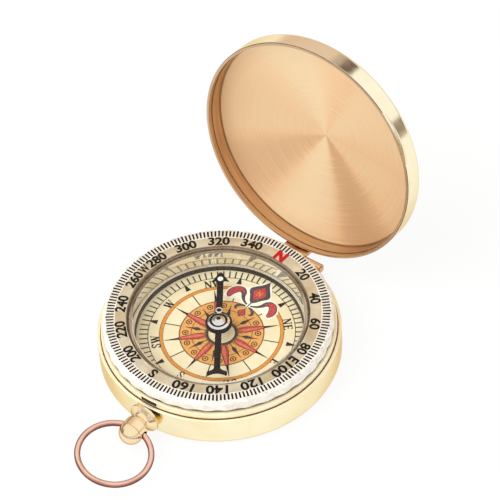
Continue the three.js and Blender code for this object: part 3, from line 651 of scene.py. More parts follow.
# Clear plastic: a share of veil, and its dark and light tone
WINDOW = thin_clear("clear_window")
CAPSULE_CLEAR = misty_clear("clear_capsule", 0.9, (0.88, 0.78, 0.60), (1.0, 0.96, 0.86), 0.7, (0.03, 0.1))
BEZEL_CLEAR = misty_clear("clear_bezel", 0.1, (0.80, 0.66, 0.48), (0.97, 0.91, 0.80))
BEZEL_FACE = misty_clear("bezel_face", 0.45, (0.78, 0.61, 0.37), (0.97, 0.87, 0.65))
# Painted light carried inside the plastic: a pale veil, golden from the brass beneath on the underside and
# cream in the bore
BEZEL_BACK_PAINTED_LIGHT = misty_clear("bezel_back_painted_light", 0.8, (0.72, 0.53, 0.30), (1.0, 0.89, 0.62))
BEZEL_INSIDE_PAINTED_LIGHT = misty_clear("bezel_inside_painted_light", 0.75, (0.92, 0.85, 0.72), (1.0, 0.98, 0.92))
BEZEL_FROST = misty_clear("frosted_bezel", 0.8, (0.78, 0.71, 0.60), (0.93, 0.885, 0.79), grain=700)
BEZEL_EDGE = misty_clear("frosted_edge", 0.92, (0.80, 0.74, 0.65), (0.94, 0.91, 0.84), grain=700)

# Card, paint and mouldings: a light and a dark tone and the middle roughness
CARD = card("cream_card")
BLACK_RING = paint("black_moulding", (0.028, 0.026, 0.025), (0.014, 0.013, 0.013), 0.3)
BLACK_PAINT = paint("black_enamel", (0.009, 0.008, 0.008), (0.004, 0.004, 0.004), 0.34, gloss=0.06)
NYLON = paint("nylon", (0.66, 0.62, 0.54), (0.54, 0.50, 0.42), 0.5)
GLOW = paint("pale_paint", (0.93, 0.95, 0.88), (0.80, 0.83, 0.76), 0.5)
IVORY = paint("ivory_seat", (1.0, 0.93, 0.68), (0.94, 0.85, 0.58), 0.4)

# Inks: a light and a dark tone
INK_BLACK = ink("ink_black", (0.010, 0.009, 0.009), (0.005, 0.004, 0.004))
INK_RED = ink("ink_red", (0.50, 0.014, 0.022), (0.38, 0.008, 0.014))
# Grey for the painted shade of the bezel's scallops
SCALLOP_SHADE_GREY = ink("scallop_shade_grey", (0.42, 0.41, 0.40), (0.30, 0.29, 0.28))
DIAL_BLACK = ink("dial_black", (0.022, 0.020, 0.020), (0.010, 0.009, 0.010))
DIAL_GREY = ink("dial_grey", (0.060, 0.053, 0.050), (0.030, 0.027, 0.026))
FLEUR_GREY = ink("fleur_grey", (0.105, 0.085, 0.085), (0.055, 0.045, 0.047))
DIAL_BROWN = ink("dial_brown", (0.20, 0.080, 0.030), (0.12, 0.045, 0.018))
DIAL_UMBER = ink("dial_umber", (0.085, 0.042, 0.022), (0.050, 0.025, 0.014))
# Brown for the painted shade round the hub
DIAL_SHADE = ink("dial_shade", (0.23, 0.125, 0.055), (0.14, 0.075, 0.035))
DIAL_MAROON = ink("dial_maroon", (0.20, 0.026, 0.022), (0.12, 0.016, 0.014))
DIAL_ORANGE = ink("dial_orange", (0.73, 0.31, 0.055), (0.63, 0.24, 0.036))
DIAL_TAN = ink("dial_tan", (0.80, 0.42, 0.12), (0.68, 0.31, 0.075))
DIAL_RED = ink("dial_red", (0.56, 0.075, 0.07), (0.44, 0.045, 0.048))
DIAL_ROSE = ink("dial_rose", (0.70, 0.20, 0.12), (0.58, 0.13, 0.085))
DIAL_WHITE = ink("dial_white", (0.96, 0.92, 0.78), (0.90, 0.84, 0.66))


# Case and lid

def make_case():
    outside = [
        (0, 0),
        *arc((CASE_RADIUS - BASE_FILLET, BASE_FILLET), BASE_FILLET, -90, 0, 10),
        *arc((CASE_RADIUS - CASE_EDGE, SHOULDER_Z - CASE_EDGE), CASE_EDGE, 0, 90, 5),
    ]
    lip = [
        *steps_from(LIP_RADIUS, SHOULDER_Z, CREASE_STEPS),
        *arc((LIP_RADIUS - LIP_EDGE, LIP_TOP_Z - LIP_EDGE), LIP_EDGE, 0, 90, 5),
        *arc((LIP_BORE + LIP_INNER_EDGE, LIP_TOP_Z - LIP_INNER_EDGE), LIP_INNER_EDGE, 90, 180, 3),
    ]
    inside = [
        (LIP_BORE, SHOULDER_Z),
        (CASE_BORE, SHOULDER_Z),
        (CASE_BORE, BASE_THICKNESS + BASE_CHAMFER),
        (CASE_BORE - BASE_CHAMFER, BASE_THICKNESS),
        (0, BASE_THICKNESS),
    ]
    profile = outside + lip + inside
    # The crease beside the lip carries painted shade.
    finish_at = runs((0, len(outside) - 4), (2, 4), (1, 4), (2, len(lip) - 3), (0, len(inside) - 1))
    finishes = [GOLD, PALE_SEAM_SHADE, SATIN]
    case = turned("case_shell", profile, CASE_FACETS, finishes, "case", "polished_brass", finish_at)
    slot_low = (-SLOT_HALF_WIDTH, SLOT_NEAR_Y, SLOT_LOW_Z)
    slot_high = (SLOT_HALF_WIDTH, SLOT_FAR_Y, SLOT_HIGH_Z)
    stem = Matrix.Translation((0, STEM_HOLE_Y, STEM_Z)) @ Matrix.Rotation(math.pi / 2, 4, "X")
    hinge = Matrix.Translation((0, HINGE_Y, HINGE_Z)) @ Matrix.Rotation(math.pi / 2, 4, "Y")
    cutters = [
        block("cut_slot", slot_low, slot_high),
        rod("cut_stem", STEM_HOLE_RADIUS, STEM_HOLE_HALF, stem),
        rod("cut_hinge", KNUCKLE_ROOM_RADIUS, KNUCKLE_ROOM_HALF, hinge),
    ]
    cut(case, cutters)
    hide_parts("case_body")


def lid_move():
    """From the lid's closed place to the open one."""
    hinge = Vector((0, HINGE_Y, HINGE_Z))
    return Matrix.Translation(hinge) @ Matrix.Rotation(-LID_OPEN_ANGLE, 4, "X") @ Matrix.Translation(-hinge)


def make_lid():
    centre_z = LID_CORNER_Z - LID_CORNER_R / math.tan(LID_DOME_ANGLE)
    dome = LID_CORNER_R / math.sin(LID_DOME_ANGLE) + LID_CORNER
    corner = (LID_CORNER_R, LID_CORNER_Z)
    start = 90 - math.degrees(LID_DOME_ANGLE)
    outside = [
        *arc((CASE_RADIUS - LID_RIM_EDGE, LID_RIM_Z + LID_RIM_EDGE), LID_RIM_EDGE, -90, 0, 4),
        (CASE_RADIUS, LID_RIM_Z + LID_RIM_BAND),
        (CASE_RADIUS, LID_CORNER_Z - LID_SIDE_GAP),
        *arc(corner, LID_CORNER + LID_WALL, 0, start, 12),
        *arc((0, centre_z), dome + LID_WALL, start, 90, 18)[1:-1],
        (0, centre_z + dome + LID_WALL),
    ]
    floor = [
        (0, centre_z + dome),
        *arc((0, centre_z), dome, 90, start + 0.1, 36)[1:],
    ]
    edge_r, edge_z = floor[-1]
    floor_end, seam_start = steps_from(edge_r, edge_z, SEAM_FROM_FLOOR)
    seam_end, wall_start = steps_from(LID_BORE, edge_z, SEAM_FROM_WALL)
    floor.append(floor_end)
    seam = [seam_start, seam_end]
    wall = [
        wall_start,
        (LID_BORE, GROOVE_HIGH_Z + GROOVE_DEPTH),
        (LID_BORE + GROOVE_DEPTH, GROOVE_HIGH_Z),
        (LID_BORE + GROOVE_DEPTH, GROOVE_LOW_Z),
        (LID_BORE, GROOVE_LOW_Z),
        *arc((LID_BORE + LID_INNER_EDGE, LID_RIM_Z + LID_INNER_EDGE), LID_INNER_EDGE, 180, 270, 3),
    ]
    # The seam round the floor, the groove's upper face and part of the rim's rounded lower edge carry painted
    # shade.
    outer_finish = runs((2, 1), (3, 2), (0, len(outside) - 3))
    inner_finish = runs((1, len(floor) - 1), (3, 1), (2, len(seam) + 1), (3, 1), (2, len(wall) - 2))
    lid = turned(
        "lid_dome",
        outside + floor + seam + wall,
        LID_FACETS,
        [SHELL, FLOOR_BRASS_PAINTED_SHEEN, WALL, DARK_SEAM_SHADE],
        "lid",
        "brushed_brass",
        outer_finish + inner_finish,
        move=lid_move(),
        sharp=SHARPER,
    )
    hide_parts("lid_shell")


def make_thumb_lip():
    """The fingernail lip on the lid's rim: a crescent that runs out into the skirt."""
    middle = CASE_RADIUS + THUMB_REACH - THUMB_CURVE
    root = CASE_RADIUS - THUMB_ROOT
    vertices = []
    for step in range(THUMB_STEPS + 1):
        angle = THUMB_HALF_ANGLE * (2 * step / THUMB_STEPS - 1)
        bearing = THUMB_BEARING + angle
        reach = middle * math.cos(angle) + math.sqrt(THUMB_CURVE**2 - (middle * math.sin(angle)) ** 2)
        reach = max(reach, root + THUMB_LEAST)
        for out, up in THUMB_SECTION:
            r = root + (reach - root) * out
            z = LID_RIM_Z + THUMB_RAISE + THUMB_THICKNESS * up
            vertices.append((r * math.cos(bearing), r * math.sin(bearing), z))
    faces = sweep_faces(THUMB_STEPS, len(THUMB_SECTION))
    add_mesh("lid_thumb_lip", vertices, faces, [SHELL], "lid", "brushed_brass", move=lid_move())


# Capsule, cover and bezel

def make_capsule():
    card_profile = [
        (DIAL_BORE, DIAL_SEAT_Z),
        (DIAL_RADIUS, DIAL_SEAT_Z),
        (DIAL_RADIUS, DIAL_Z),
        *[(radius, DIAL_Z) for radius in DIAL_CIRCLES],
        (DIAL_BORE, DIAL_Z),
    ]
    plate = turned("dial_card", card_profile, RING_FACETS, [CARD], "case", "printed_card")
    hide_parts("dial_plate")
    edge = (DIAL_RING_RADIUS - DIAL_RING_EDGE, DIAL_RING_TOP_Z - DIAL_RING_EDGE)
    outer = [
        (DIAL_RING_RADIUS, DIAL_Z),
        *arc(edge, DIAL_RING_EDGE, 0, 90, 3),
        (DIAL_RING_BORE + DIAL_RING_BAND, DIAL_RING_TOP_Z),
    ]
    inner = [
        (DIAL_RING_BORE + DIAL_RING_CHAMFER, DIAL_RING_TOP_Z - DIAL_RING_CHAMFER),
        (DIAL_RING_BORE, DIAL_RING_TOP_Z - DIAL_RING_FALL),
        (DIAL_RING_BORE, DIAL_Z),
    ]
    finish_at = runs((1, len(outer) - 1), (0, len(inner) + 1))
    finishes = [BLACK_RING, MIRROR]
    ring = turned("dial_rim", outer + inner, RING_FACETS, finishes, "case", "black_plastic", finish_at)
    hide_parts("dial_ring")
    wall_profile = [
        (WINDOW_RADIUS, WINDOW_LOW_Z),
        (COVER_BORE - COVER_CHAMFER, WINDOW_LOW_Z),
        (COVER_BORE, WINDOW_LOW_Z - COVER_CHAMFER),
        (COVER_BORE, COVER_FOOT_Z),
        (COVER_RADIUS, COVER_FOOT_Z),
        (COVER_RADIUS, WINDOW_LOW_Z),
        (COVER_FLANGE, WINDOW_LOW_Z),
        *arc((COVER_FLANGE - COVER_EDGE, WINDOW_TOP_Z - COVER_EDGE), COVER_EDGE, 0, 90, 4),
        (WINDOW_RADIUS, WINDOW_TOP_Z),
    ]
    # The flange's underside and the outer part of its rounded top edge carry painted shade.
    finish_at = runs((0, 5), (1, 1), (0, 1), (1, 2), (2, 4))
    finishes = [CAPSULE_CLEAR, DARK_SEAM_SHADE, WINDOW]
    wall = turned("clear_cover_wall", wall_profile, RING_FACETS, finishes, "case", "clear_acrylic", finish_at)
    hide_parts("capsule_cover")
    window_profile = [
        (0, WINDOW_LOW_Z),
        *[(radius, WINDOW_LOW_Z) for radius in WINDOW_CIRCLES],
        *[(radius, WINDOW_TOP_Z) for radius in reversed(WINDOW_CIRCLES)],
        (0, WINDOW_TOP_Z),
    ]
    turned("clear_cover_window", window_profile, RING_FACETS, [WINDOW], "case", "clear_acrylic")


def make_bezel():
    def scalloped(radius, angle):
        if radius < BEZEL_RADIUS - BEZEL_ROUNDING:
            return radius
        share = (radius - BEZEL_RADIUS + BEZEL_ROUNDING) / BEZEL_ROUNDING
        return radius - share * SCALLOP_DEPTH * (1 - math.cos(BEZEL_SCALLOPS * angle)) / 2

    profile = [
        (BEZEL_BORE, BEZEL_LOW_Z),
        (BEZEL_FOOT, BEZEL_LOW_Z),
        (BEZEL_FOOT, BEZEL_FLANGE_Z),
        (BEZEL_RADIUS - BEZEL_CHAMFER, BEZEL_FLANGE_Z),
        (BEZEL_RADIUS, BEZEL_FLANGE_Z + BEZEL_CHAMFER),
        *steps_from(BEZEL_RADIUS, BEZEL_TOP_Z, BEZEL_RIM),
        (BEZEL_FACE_RADIUS, BEZEL_TOP_Z),
        (BEZEL_MOUTH, BEZEL_TOP_Z),
        (BEZEL_MOUTH, BEZEL_SHELF_Z),
        (BEZEL_BORE, BEZEL_SHELF_Z),
    ]
    # The underside and the bore carry painted light: a pale veil in place of light carried inside the
    # plastic.
    bezel = turned(
        "clear_bezel",
        profile,
        BEZEL_SCALLOPS * SCALLOP_FACETS,
        [BEZEL_CLEAR, BEZEL_FROST, BEZEL_EDGE, BEZEL_BACK_PAINTED_LIGHT, BEZEL_INSIDE_PAINTED_LIGHT, BEZEL_FACE],
        "bezel",
        "clear_acrylic",
        runs((3, 3), (2, 5), (1, 1), (5, 1), (0, 1), (4, 2)),
        scalloped,
    )
    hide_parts("bezel_ring")


# Printing

def ring_points(x, y, inner, outer, steps):
    """Pairs of an inner and an outer point round a ring."""
    angles = [TURN * step / steps for step in range(steps)]
    return [(x + r * math.cos(angle), y + r * math.sin(angle)) for angle in angles for r in (inner, outer)]


class Print:
    """Flat marks at one level in one ink, at (sideways, outwards) on a bearing clockwise from north."""

    def __init__(self, north, height, centre=(0, 0)):
        self.north = north
        self.height = height
        self.centre = centre
        self.vertices = []
        self.faces = []

    def at(self, bearing, points):
        angle = self.north - math.radians(bearing)
        c, s = math.cos(angle), math.sin(angle)
        cx, cy = self.centre
        return [(cx + x * s + y * c, cy + y * s - x * c, self.height) for x, y in points]

    def reach(self, bearing, limit):
        """How far a mark may run from the print's centre to stay within limit of the axis."""
        angle = self.north - math.radians(bearing)
        cx, cy = self.centre
        along = cx * math.cos(angle) + cy * math.sin(angle)
        return math.sqrt(along**2 - cx**2 - cy**2 + limit**2) - along

    def add(self, vertices, faces):
        start = len(self.vertices)
        self.vertices.extend(vertices)
        self.faces.extend(tuple(start + i for i in face) for face in faces)

    def shape(self, bearing, points):
        self.add(self.at(bearing, points), [range(len(points))])

    def taper(self, bearing, half_start, start, half_end, end):
        """A straight mark that widens or narrows outwards."""
        self.shape(bearing, [(-half_start, start), (half_start, start), (half_end, end), (-half_end, end)])

    def band(self, vertices):
        """A closed ring from pairs of an inner and an outer point."""
        count = len(vertices)
        self.add(vertices, [(a, a + 1, (a + 3) % count, (a + 2) % count) for a in range(0, count, 2)])

    def ring(self, inner, outer):
        self.band([(x, y, self.height) for x, y in ring_points(*self.centre, inner, outer, 180)])

    def circle(self, bearing, outwards, inner, outer, steps):
        self.band(self.at(bearing, ring_points(0, outwards, inner, outer, steps)))

    def stroke(self, bearing, points, widths):
        """A line through the points whose width follows widths, one for each point or one for all."""
        count = len(points)
        if not isinstance(widths, (list, tuple)):
            widths = [widths] * count
        left, right = [], []
        for i, (x, y) in enumerate(points):
            x0, y0 = points[max(i - 1, 0)]
            x1, y1 = points[min(i + 1, count - 1)]
            size = math.hypot(x1 - x0, y1 - y0)
            dx, dy = (x1 - x0) / size, (y1 - y0) / size
            half = widths[i] / 2
            left.append((x - dy * half, y + dx * half))
            right.append((x + dy * half, y - dx * half))
        faces = [(i, i + 1, count + i + 1, count + i) for i in range(count - 1)]
        self.add(self.at(bearing, left + right), faces)

    def letters(self, bearing, text, y, height, width, bold):
        outline, faces = lettering(text, bold)
        self.add(self.at(bearing, [(px * width, y + py * height) for px, py in outline]), faces)

    def make(self, name, material, body, slot):
        return add_mesh(name, self.vertices, self.faces, [material], body, slot)


def lettering(text, bold):
    """Plain block letters as flat points and faces, one unit high and one unit wide, centred."""
    curve = bpy.data.curves.new("letters", "FONT")
    curve.body = text
    curve.offset = bold
    curve.resolution_u = 4
    obj = bpy.data.objects.new("letters", curve)
    bpy.context.scene.collection.objects.link(obj)
    bpy.context.view_layer.update()
    graph = bpy.context.evaluated_depsgraph_get()
    mesh = bpy.data.meshes.new_from_object(obj.evaluated_get(graph))
    points = [(v.co.x, v.co.y) for v in mesh.vertices]
    faces = [tuple(p.vertices) for p in mesh.polygons]
    bpy.data.objects.remove(obj)
    bpy.data.curves.remove(curve)
    bpy.data.meshes.remove(mesh)
    low = [min(p[i] for p in points) for i in (0, 1)]
    high = [max(p[i] for p in points) for i in (0, 1)]
    outline = [tuple((p[i] - (low[i] + high[i]) / 2) / (high[i] - low[i]) for i in (0, 1)) for p in points]
    return outline, faces


# Where north is printed, the middle of the dial's print, and the rise from one layer of ink to the next
BEZEL_NORTH = math.radians(85.1)
DIAL_NORTH = math.radians(88)
DIAL_PRINT_CENTRE = (0.4, 0.14)
LAYER = 0.012

# The bezel's marks, from their inner to their outer end, with the half widths there
TICK_START = 21.3
TICK_END = 22.84
LONG_TICK_END = 22.98
TICK_HALVES = (0.18, 0.2)
# Painted shade of the scallops: short grey marks on the rounded rim, one to each scallop, a little below the
# top
SCALLOP_SHADE_START = 23.12
SCALLOP_SHADE_END = 23.24
SCALLOP_SHADE_HALVES = (0.28, 0.24)
SCALLOP_SHADE_DROP = 0.1
# The bezel's numerals and letters: radius, height, width of one numeral and stroke weight
NUMERAL_PLACE = 20.02
NUMERAL_HEIGHT = 2.25
NUMERAL_WIDTH = 1.5
NUMERAL_BOLD = 0.034
WIND_WIDTHS = ((90, "E", 1.3), (180, "S", 1.45), (270, "W", 2.1))
NORTH_PLACE = 19.95
NORTH_HEIGHT = 2.75
NORTH_WIDTH = 2.55
NORTH_BOLD = 0.075


def print_bezel():
    height = BEZEL_TOP_Z + LAYER
    ticks = Print(BEZEL_NORTH, height)
    for degree in range(0, 360, 2):
        end = LONG_TICK_END if degree % 10 == 0 else TICK_END
        ticks.taper(degree, TICK_HALVES[0], TICK_START, TICK_HALVES[1], end)
    ticks.make("bezel_ticks", INK_BLACK, "bezel", "clear_acrylic")
    # Painted shade of the scallops, printed on the rim
    scallop_shade = Print(BEZEL_NORTH, BEZEL_TOP_Z - SCALLOP_SHADE_DROP)
    for degree in range(5, 360, 10):
        scallop_shade.taper(degree, SCALLOP_SHADE_HALVES[0], SCALLOP_SHADE_START, SCALLOP_SHADE_HALVES[1], SCALLOP_SHADE_END)
    scallop_shade.make("bezel_scallop_shade", SCALLOP_SHADE_GREY, "bezel", "clear_acrylic")
    numbers = Print(BEZEL_NORTH, height)
    texts = [(degree, str(degree)) for degree in range(20, 360, 20) if degree != 180]
    numerals = [(degree, text, NUMERAL_WIDTH * len(text)) for degree, text in texts]
    for degree, text, width in (*numerals, *WIND_WIDTHS):
        numbers.letters(degree, text, NUMERAL_PLACE, NUMERAL_HEIGHT, width, NUMERAL_BOLD)
    numbers.make("bezel_numerals", INK_BLACK, "bezel", "clear_acrylic")
    north = Print(BEZEL_NORTH, height)
    north.letters(0, "N", NORTH_PLACE, NORTH_HEIGHT, NORTH_WIDTH, NORTH_BOLD)
    north.make("bezel_north", INK_RED, "bezel", "clear_acrylic")


def curl(points, steps):
    """A smooth line through the points."""
    result = []
    for i in range(len(points) - 1):
        p0 = points[max(i - 1, 0)]
        p1, p2 = points[i], points[i + 1]
        p3 = points[min(i + 2, len(points) - 1)]
        for step in range(steps):
            t = step / steps
            point = []
            for a, b, c, d in zip(p0, p1, p2, p3):
                square = 2 * a - 5 * b + 4 * c - d
                cube = 3 * b - a - 3 * c + d
                point.append(0.5 * (2 * b + (c - a) * t + square * t * t + cube * t**3))
            result.append(tuple(point))
    result.append(points[-1])
    return result


def both_sides(half):
    """A closed outline from its right half, which starts and ends on the middle line."""
    return half + [(-x, y) for x, y in reversed(half[1:-1])]


def smooth_outline(half):
    return curl(both_sides(half) + half[:1], 6)[:-1]


# Letters with serifs: the width of each, and its strokes with their weights, all for a height of one
THIN, THICK, SERIF, CURVED = 0.12, 0.26, 0.1, 0.17
LETTER_GAP = 0.1
LETTER_WEIGHT = 0.85
S_CURVE = (
    (0.54, 0.8), (0.42, 0.94), (0.26, 0.97), (0.1, 0.82), (0.16, 0.62),
    (0.42, 0.44), (0.52, 0.24), (0.38, 0.05), (0.18, 0.05), (0.06, 0.22),
)


def straight(weight, *ends):
    """Straight strokes of one weight, each from the x and y of its start and its end."""
    return [([(x0, y0), (x1, y1)], weight) for x0, y0, x1, y1 in ends]


LETTERS = {
    "N": (0.86, [
        *straight(THIN, (0.16, 0, 0.16, 1), (0.74, 0, 0.74, 1)),
        *straight(THICK, (0.16, 0.97, 0.72, 0.03)),
        *straight(SERIF, (0, 0.03, 0.32, 0.03), (0, 0.97, 0.26, 0.97), (0.58, 0.97, 0.88, 0.97)),
    ]),
    "E": (0.72, [
        *straight(THICK, (0.18, 0, 0.18, 1)),
        *straight(SERIF, (0.05, 0.04, 0.66, 0.04), (0.05, 0.96, 0.64, 0.96), (0.18, 0.52, 0.5, 0.52)),
        *straight(SERIF, (0.64, 0.0, 0.66, 0.24), (0.62, 0.78, 0.62, 1.0), (0.5, 0.4, 0.5, 0.64)),
    ]),
    "S": (0.66, [
        (curl(S_CURVE, 5), CURVED),
        *straight(SERIF, (0.54, 0.7, 0.54, 0.98), (0.06, 0.02, 0.06, 0.32)),
    ]),
    "W": (1.1, [
        *straight(THICK, (0.1, 0.97, 0.34, 0.02), (0.5, 0.97, 0.76, 0.02)),
        *straight(THIN, (0.34, 0.02, 0.55, 0.9), (0.76, 0.02, 1.0, 0.97)),
        *straight(SERIF, (0, 0.97, 0.26, 0.97), (0.4, 0.97, 0.66, 0.97), (0.86, 0.97, 1.12, 0.97)),
    ]),
}


def serif_letters(page, bearing, text, radius, height):
    total = sum(LETTERS[letter][0] for letter in text) + LETTER_GAP * (len(text) - 1)
    x = -total / 2
    for letter in text:
        width, strokes = LETTERS[letter]
        for points, weight in strokes:
            placed = [((x + px) * height, radius + (py - 0.5) * height) for px, py in points]
            page.stroke(bearing, placed, weight * height * LETTER_WEIGHT)
        x += width + LETTER_GAP


# The dial's print: rings from radius to radius, and outlines as places beside and along a bearing
WINDS = ((45, "NE"), (90, "E"), (135, "SE"), (180, "S"), (225, "SW"), (270, "W"), (315, "NW"))
HALF_WINDS = [22.5 + 45 * wind for wind in range(8)]
WIND_PLACE = 13.62
WIND_HEIGHT = 1.8
ORANGE_RING = (12.05, 12.78)
ROSE_GROUND = (3.3, 8.6)
BROWN_RINGS = ((8.55, 8.78), (6.2, 6.34), (12.74, 12.84), (12.0, 12.08))
BUTTON_SWING = 11.0
BUTTON_PLACE = 7.45
BUTTON_RING = (0.46, 0.68, 16)
BUTTON_DOT = (0.0, 0.24, 10)
# Painted shade round the needle's hub: a soft ring with spikes, and a grey ring within it
HUB_SHADE = (2.72, 3.45)
HUB_SHADE_SPIKES = 32
HUB_SHADE_SPIKE = (0.1, 3.4, 0.02, 4.6)
HUB_SHADE_LINE = (2.82, 3.12)
LEAF_STALK = [(0, 3.2), (0, 4.3)]
LEAF_STALK_WIDTH = 0.16
LEAF = [(0, 4.1), (0.46, 5.15), (0.16, 6.5), (0, 8.1)]
SCALE_RING = (15.05, 15.19)
SCALE_MARKS = 80
SCALE_START = 15.1
SCALE_END = 16.92
SCALE_MARGIN = 0.06
SCALE_WIDTH = 0.27
SPOKE = [(0, 8.8), (0, 12.0)]
SPOKE_WIDTH = 0.21
WEDGE = [
    (-0.56, 13.65), (0.56, 13.65), (0.2, 15.1), (0.07, 15.2),
    (0.07, 16.6), (-0.07, 16.6), (-0.07, 15.2), (-0.2, 15.1),
]
STAR_POINT = [(-0.4, 3.5), (0.4, 3.5), (0.78, 5.0), (0.3, 8.9), (-0.3, 8.9), (-0.78, 5.0)]
STAR_FACET = [(-0.1, 3.6), (0.26, 3.6), (0.54, 5.0), (0.14, 8.7), (-0.04, 8.7), (-0.22, 5.0)]
STAR_SIDE = [(0.4, 3.5), (0.78, 5.0), (0.3, 8.9)]
STAR_LINE = 0.13
STAR_TIP = (0.3, 8.7, 0.03, 11.8)


def dial_page(layer):
    return Print(DIAL_NORTH, DIAL_Z + LAYER * layer, DIAL_PRINT_CENTRE)


def print_dial():
    orange, tan, brown, umber = dial_page(1), dial_page(1), dial_page(2), dial_page(2)
    orange.ring(*ORANGE_RING)
    tan.ring(*ROSE_GROUND)
    for inner, outer in BROWN_RINGS:
        brown.ring(inner, outer)
    for wind, text in WINDS:
        for side in SIDES:
            umber.circle(wind + side * BUTTON_SWING, BUTTON_PLACE, *BUTTON_RING)
            umber.circle(wind + side * BUTTON_SWING, BUTTON_PLACE, *BUTTON_DOT)

    soft, grey = dial_page(2), dial_page(3)
    # Painted shade round the hub
    soft.ring(*HUB_SHADE)
    for spike in range(HUB_SHADE_SPIKES):
        soft.taper(360 / HUB_SHADE_SPIKES * spike, *HUB_SHADE_SPIKE)
    grey.ring(*HUB_SHADE_LINE)
    for bearing in HALF_WINDS:
        grey.stroke(bearing, LEAF_STALK, LEAF_STALK_WIDTH)
        grey.shape(bearing, both_sides(LEAF))

    black = dial_page(3)
    black.ring(*SCALE_RING)
    for mark in range(SCALE_MARKS):
        bearing = 360 / SCALE_MARKS * mark
        end = min(SCALE_END, black.reach(bearing, DIAL_RING_BORE - SCALE_MARGIN))
        black.stroke(bearing, [(0, SCALE_START), (0, end)], SCALE_WIDTH)
    for bearing in HALF_WINDS:
        black.stroke(bearing, SPOKE, SPOKE_WIDTH)
        black.shape(bearing, WEDGE)
    for wind, text in WINDS:
        serif_letters(black, wind, text, WIND_PLACE, WIND_HEIGHT)

    red, rose, rims, tips = dial_page(4), dial_page(5), dial_page(6), dial_page(4)
    for wind, text in WINDS:
        red.shape(wind, STAR_POINT)
        rose.shape(wind, STAR_FACET)
        tips.taper(wind, *STAR_TIP)
        for side in SIDES:
            rims.stroke(wind, [(side * x, y) for x, y in STAR_SIDE], STAR_LINE)

    pages = (
        (orange, "dial_orange_ring", DIAL_ORANGE),
        (tan, "dial_rose_ground", DIAL_TAN),
        (brown, "dial_rose_lines", DIAL_BROWN),
        (umber, "dial_rose_buttons", DIAL_UMBER),
        (soft, "dial_hub_shade", DIAL_SHADE),
        (grey, "dial_rose_leaves", DIAL_GREY),
        (black, "dial_scale", DIAL_BLACK),
        *print_fleur(),
        (red, "dial_star", DIAL_RED),
        (rose, "dial_star_facets", DIAL_ROSE),
        (rims, "dial_star_edges", DIAL_MAROON),
        (tips, "dial_star_tips", DIAL_BLACK),
    )
    for page, name, material in pages:
        page.make(name, material, "case", "printed_card")


# The fleur-de-lis: right halves of its outlines, and the middle lines of its petals and twigs
FLEUR_GROUND = [
    (0, 16.85), (1.2, 15.6), (3.0, 13.1), (4.4, 12.7), (6.3, 10.8),
    (5.9, 8.5), (4.3, 8.6), (2.6, 9.4), (1.1, 8.7), (0, 8.3),
]
FLEUR_BLADE = [(0, 16.8), (0.75, 15.4), (2.45, 13.2), (1.5, 11.6), (0, 9.9)]
FLEUR_BLADE_RED = [(0, 14.95), (0.5, 14.3), (1.45, 13.05), (0.9, 12.0), (0, 10.95)]
FLEUR_DROP = [(0, 7.95), (1.0, 6.7), (0, 5.45)]
FLEUR_DROP_RED = [(0, 7.6), (0.75, 6.7), (0, 5.8)]
FLEUR_STALK = [(0, 10.1), (0, 8.0)]
FLEUR_STALK_WIDTHS = [0.3, 0.16]
FLEUR_TWIG = ((0.3, 8.6), (1.1, 8.5), (1.9, 7.9), (2.0, 7.2), (1.5, 7.0))
# A petal's places, each with the petal's width there
FLEUR_PETAL = (
    (0.45, 9.1, 0.16), (1.6, 9.65, 0.34), (2.4, 10.5, 0.62), (2.85, 11.35, 0.95), (3.55, 11.8, 1.25),
    (4.35, 11.6, 1.45), (4.98, 10.8, 1.55), (5.2, 9.95, 1.4), (5.05, 9.2, 1.0), (4.7, 8.85, 0.5),
)
PETAL_RIM = 0.2
PETAL_RED_START = 16
FLEUR_LETTER_PLACE = 12.9
FLEUR_LETTER_HEIGHT = 1.35


def print_fleur():
    """The fleur-de-lis that marks north on an old compass rose, as pages with their names and inks."""
    ground, grey, red, orange = dial_page(4), dial_page(5), dial_page(6), dial_page(7)
    ground.shape(0, smooth_outline(FLEUR_GROUND))
    grey.shape(0, smooth_outline(FLEUR_BLADE))
    for side in SIDES:
        petal = curl([(side * x, y, width) for x, y, width in FLEUR_PETAL], 6)
        grey.stroke(0, [place[:2] for place in petal], [width + PETAL_RIM for x, y, width in petal])
        core = petal[PETAL_RED_START:]
        widths = [(width - PETAL_RIM) * min(1, 0.15 + i / 14) for i, (x, y, width) in enumerate(core)]
        red.stroke(0, [place[:2] for place in core], widths)
        twig = curl([(side * x, y) for x, y in FLEUR_TWIG], 6)
        last = len(twig) - 1
        grey.stroke(0, twig, [0.2 + 0.5 * math.sin(math.pi * i / last) for i in range(last + 1)])
    grey.stroke(0, FLEUR_STALK, FLEUR_STALK_WIDTHS)
    grey.shape(0, both_sides(FLEUR_DROP))
    red.shape(0, smooth_outline(FLEUR_BLADE_RED))
    red.shape(0, both_sides(FLEUR_DROP_RED))
    serif_letters(orange, 0, "N", FLEUR_LETTER_PLACE, FLEUR_LETTER_HEIGHT)
    return (
        (ground, "dial_fleur_ground", DIAL_WHITE),
        (grey, "dial_fleur_outline", FLEUR_GREY),
        (red, "dial_fleur_petals", DIAL_RED),
        (orange, "dial_fleur_letter", DIAL_ORANGE),
    )


# Needle, stem and bow

def quadratic(a, b, c, steps=10):
    """A curve from a to c that leans towards b, without its first point."""
    points = []
    for i in range(1, steps + 1):
        t = i / steps
        points.append(tuple((1 - t) ** 2 * a[k] + 2 * t * (1 - t) * b[k] + t * t * c[k] for k in (0, 1)))
    return points


